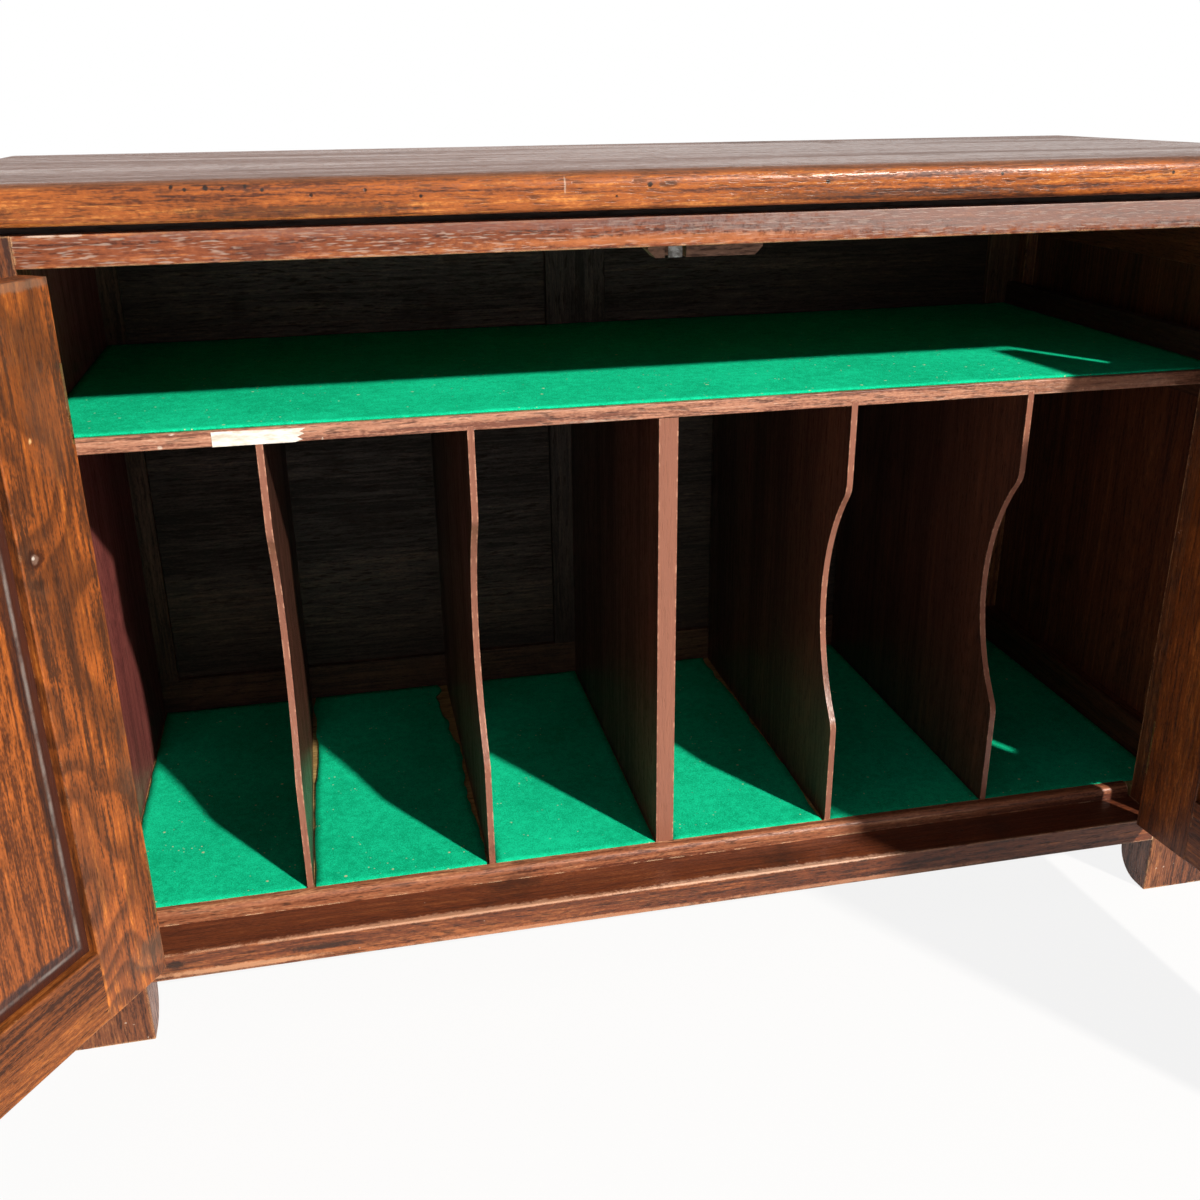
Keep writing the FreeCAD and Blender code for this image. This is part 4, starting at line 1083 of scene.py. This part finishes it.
class Baize:
    """The baize of the shelf and of the six bays."""

    gap: float = 0.6 * MM

    def build(self, shop: Workshop) -> list[bpy.types.Object]:
        """Lays every sheet.

        Args:
            shop: Where materials are made.

        Returns:
            The sheets.
        """
        felt = shop.felt("green_baize_felt", linear(6, 164, 116), linear(24, 226, 168))
        floor_low, floor_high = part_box("floor_baize")
        short = {
            2: (6.0 * MM, 13.0 * MM, 0.5 * MM, 1.5 * MM), 4: (0.8 * MM, 11.0 * MM, 0.5 * MM, 1.0 * MM),
            1: (3.0 * MM, 1.0 * MM, 0.5 * MM, 3.0 * MM),
        }
        usual = (0.8 * MM, 0.8 * MM, 0.4 * MM, 1.0 * MM)
        sheets = []
        for number, (left, right) in enumerate(self._bays(), 1):
            sheets.append(BaizeSheet(
                name="bay_baize_" + str(number), low=(left + self.gap, floor_low.y),
                high=(right - self.gap, floor_high.y), surface=floor_low.z, rests_on="bottom_board",
                node="floor_baize", short=short.get(number, usual),
            ))
        low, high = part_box("shelf_baize")
        sheets.append(BaizeSheet(
            name="shelf_baize_sheet", low=(low.x, low.y), high=(high.x, high.y), surface=low.z,
            rests_on="shelf_board", node="shelf_baize",
        ))
        return [sheet.build(felt) for sheet in sheets]

    @staticmethod
    def _bays() -> list[tuple[float, float]]:
        """Gives the left and right wall of each bay."""
        walls = ["left_lining", "divider_1", "divider_2", "centre_partition", "divider_3", "divider_4"]
        boxes = [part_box(name) for name in walls]
        lefts = [high.x for _, high in boxes]
        rights = [low.x for low, _ in boxes[1:]] + [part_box("floor_baize")[1].x]
        return list(zip(lefts, rights))


@dataclass
class Studio:
    """Camera, floor and light.

    Attributes:
        position: Where the photograph's camera stood.
        pitch: Its tilt, negative when it looks down.
        roll: Its roll.
        yaw: Its turn about Z.
        focal: Focal length in pixels of the 1200 pixel frame.
        frame: Width of the photograph in pixels.
        sensor: Sensor width in millimetres.
    """

    position: Point = (-0.22825, -0.94811, 0.61881)
    pitch: float = math.radians(-22.13)
    roll: float = math.radians(-0.66)
    yaw: float = math.radians(-12.07)
    focal: float = 1245.86
    frame: float = 1200.0
    sensor: float = 36.0

    def build(self) -> None:
        """Sets up camera, floor, world and lamps."""
        self._camera()
        self._floor()
        self._world()
        self._lamp("key_softbox", (3.62, -5.84, 4.39), 0.28, 1040.0, linear(255, 248, 238))
        self._lamp("fill_softbox", (-2.2, -1.9, 1.3), 1.8, 1.6, linear(240, 246, 255))
        self._lamp("top_softbox", (0.0, 0.2, 2.6), 2.2, 3.0, linear(255, 255, 255))
        bpy.context.scene.view_settings.view_transform = "Standard"

    def _camera(self) -> None:
        """Places the photograph's camera."""
        forward = Vector((
            -math.sin(self.yaw) * math.cos(self.pitch),
            math.cos(self.yaw) * math.cos(self.pitch),
            math.sin(self.pitch),
        ))
        level = Vector((math.cos(self.yaw), math.sin(self.yaw), 0.0))
        above = level.cross(forward)
        right = math.cos(self.roll) * level + math.sin(self.roll) * above
        up = -math.sin(self.roll) * level + math.cos(self.roll) * above
        data = bpy.data.cameras.new("photo_camera")
        data.sensor_width = self.sensor
        data.sensor_fit = "HORIZONTAL"
        data.lens = self.focal * self.sensor / self.frame
        data.clip_start = 0.01
        camera = bpy.data.objects.new("photo_camera", data)
        bpy.context.scene.collection.objects.link(camera)
        turn = Matrix((right, up, -forward)).transposed().to_4x4()
        camera.matrix_world = Matrix.Translation(self.position) @ turn
        bpy.context.scene.camera = camera

    def _floor(self) -> None:
        """Lays the pale floor."""
        mesh = bmesh.new()
        bmesh.ops.create_grid(mesh, x_segments=1, y_segments=1, size=30.0)
        data = bpy.data.meshes.new("studio_floor")
        mesh.to_mesh(data)
        mesh.free()
        floor = bpy.data.objects.new("studio_floor", data)
        bpy.context.scene.collection.objects.link(floor)
        material = bpy.data.materials.new("pale_floor")
        material.use_nodes = True
        graph = Graph(material.node_tree)
        shader = material.node_tree.nodes["Principled BSDF"]
        shader.inputs["Base Color"].default_value = (0.8, 0.8, 0.8, 1.0)
        shader.inputs["Roughness"].default_value = 0.9
        glow = graph.add("Emission", {"Color": (1.0, 1.0, 1.0, 1.0), "Strength": 1.0})
        path = graph.add("LightPath").outputs
        seen = graph.calc("MAXIMUM", path["Is Camera Ray"], path["Is Glossy Ray"])
        seen = graph.calc("MAXIMUM", seen, path["Is Transmission Ray"])
        place = graph.add("TexCoord").outputs["Object"]
        reach = graph.add("VectorMath", {0: place}, operation="LENGTH").outputs["Value"]
        share = graph.calc("MULTIPLY", seen, graph.spread(reach, 0.9, 2.6, (0.88, 1.0)))
        mixed = graph.add("MixShader", {0: share, 1: shader.outputs[0], 2: glow.outputs[0]})
        graph.tree.links.new(mixed.outputs[0], material.node_tree.nodes["Material Output"].inputs[0])
        data.materials.append(material)

    def _world(self) -> None:
        """Makes the white surroundings."""
        world = bpy.data.worlds.new("white_surroundings")
        world.use_nodes = True
        bpy.context.scene.world = world
        graph = Graph(world.node_tree)
        soft = world.node_tree.nodes["Background"]
        soft.inputs["Color"].default_value = (0.9, 0.95, 1.0, 1.0)
        soft.inputs["Strength"].default_value = 0.11
        white = graph.add("Background", {"Color": (1.0, 1.0, 1.0, 1.0), "Strength": 1.0})
        path = graph.add("LightPath").outputs
        seen = graph.calc("MAXIMUM", path["Is Camera Ray"], path["Is Glossy Ray"])
        seen = graph.calc("MAXIMUM", seen, path["Is Transmission Ray"])
        mixed = graph.add("MixShader", {0: seen, 1: soft.outputs[0], 2: white.outputs[0]})
        graph.tree.links.new(mixed.outputs[0], world.node_tree.nodes["World Output"].inputs[0])

    @staticmethod
    def _lamp(name: str, place: Point, size: float, power: float, colour: Colour) -> None:
        """Hangs a soft lamp that points at the cupboard.

        Args:
            name: Its name.
            place: Where it hangs.
            size: Its width.
            power: Its power in watts.
            colour: Its colour.
        """
        data = bpy.data.lights.new(name, "AREA")
        data.shape = "SQUARE"
        data.size = size
        data.energy = power
        data.color = colour
        lamp = bpy.data.objects.new(name, data)
        bpy.context.scene.collection.objects.link(lamp)
        lamp.location = place
        target = Vector((0.0, 0.0, 0.3))
        lamp.rotation_euler = (target - lamp.location).to_track_quat("-Z", "Y").to_euler()


def main() -> None:
    """Dresses the cupboard and sets up the studio."""
    logging.basicConfig(level=logging.INFO, format="%(message)s")
    random.seed(7)
    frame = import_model()
    nodes = frame["nodes"]
    joints = {joint["name"]: joint for joint in frame["joints"]}
    shop = Workshop()
    Studio().build()
    carcass_woodwork().dress(shop, nodes)
    for side in ("left", "right"):
        hinge = joints[side + "_door_hinge"]
        turn = math.radians(min(hinge["range_deg"])) * hinge["axis"][2]
        woodwork = door_woodwork(side, turn, tuple(hinge["pos_m"][:2]))
        LOG.info("dressed %d pieces of the %s door", woodwork.dress(shop, nodes), side)
    Metalwork().dress(shop, nodes)
    shop.dress(nodes["shelf_tape"], shop.tape("old_white_tape"))
    for sheet in Baize().build(shop):
        LOG.info("laid %s", sheet.name)


if __name__ == "__main__":
    main()
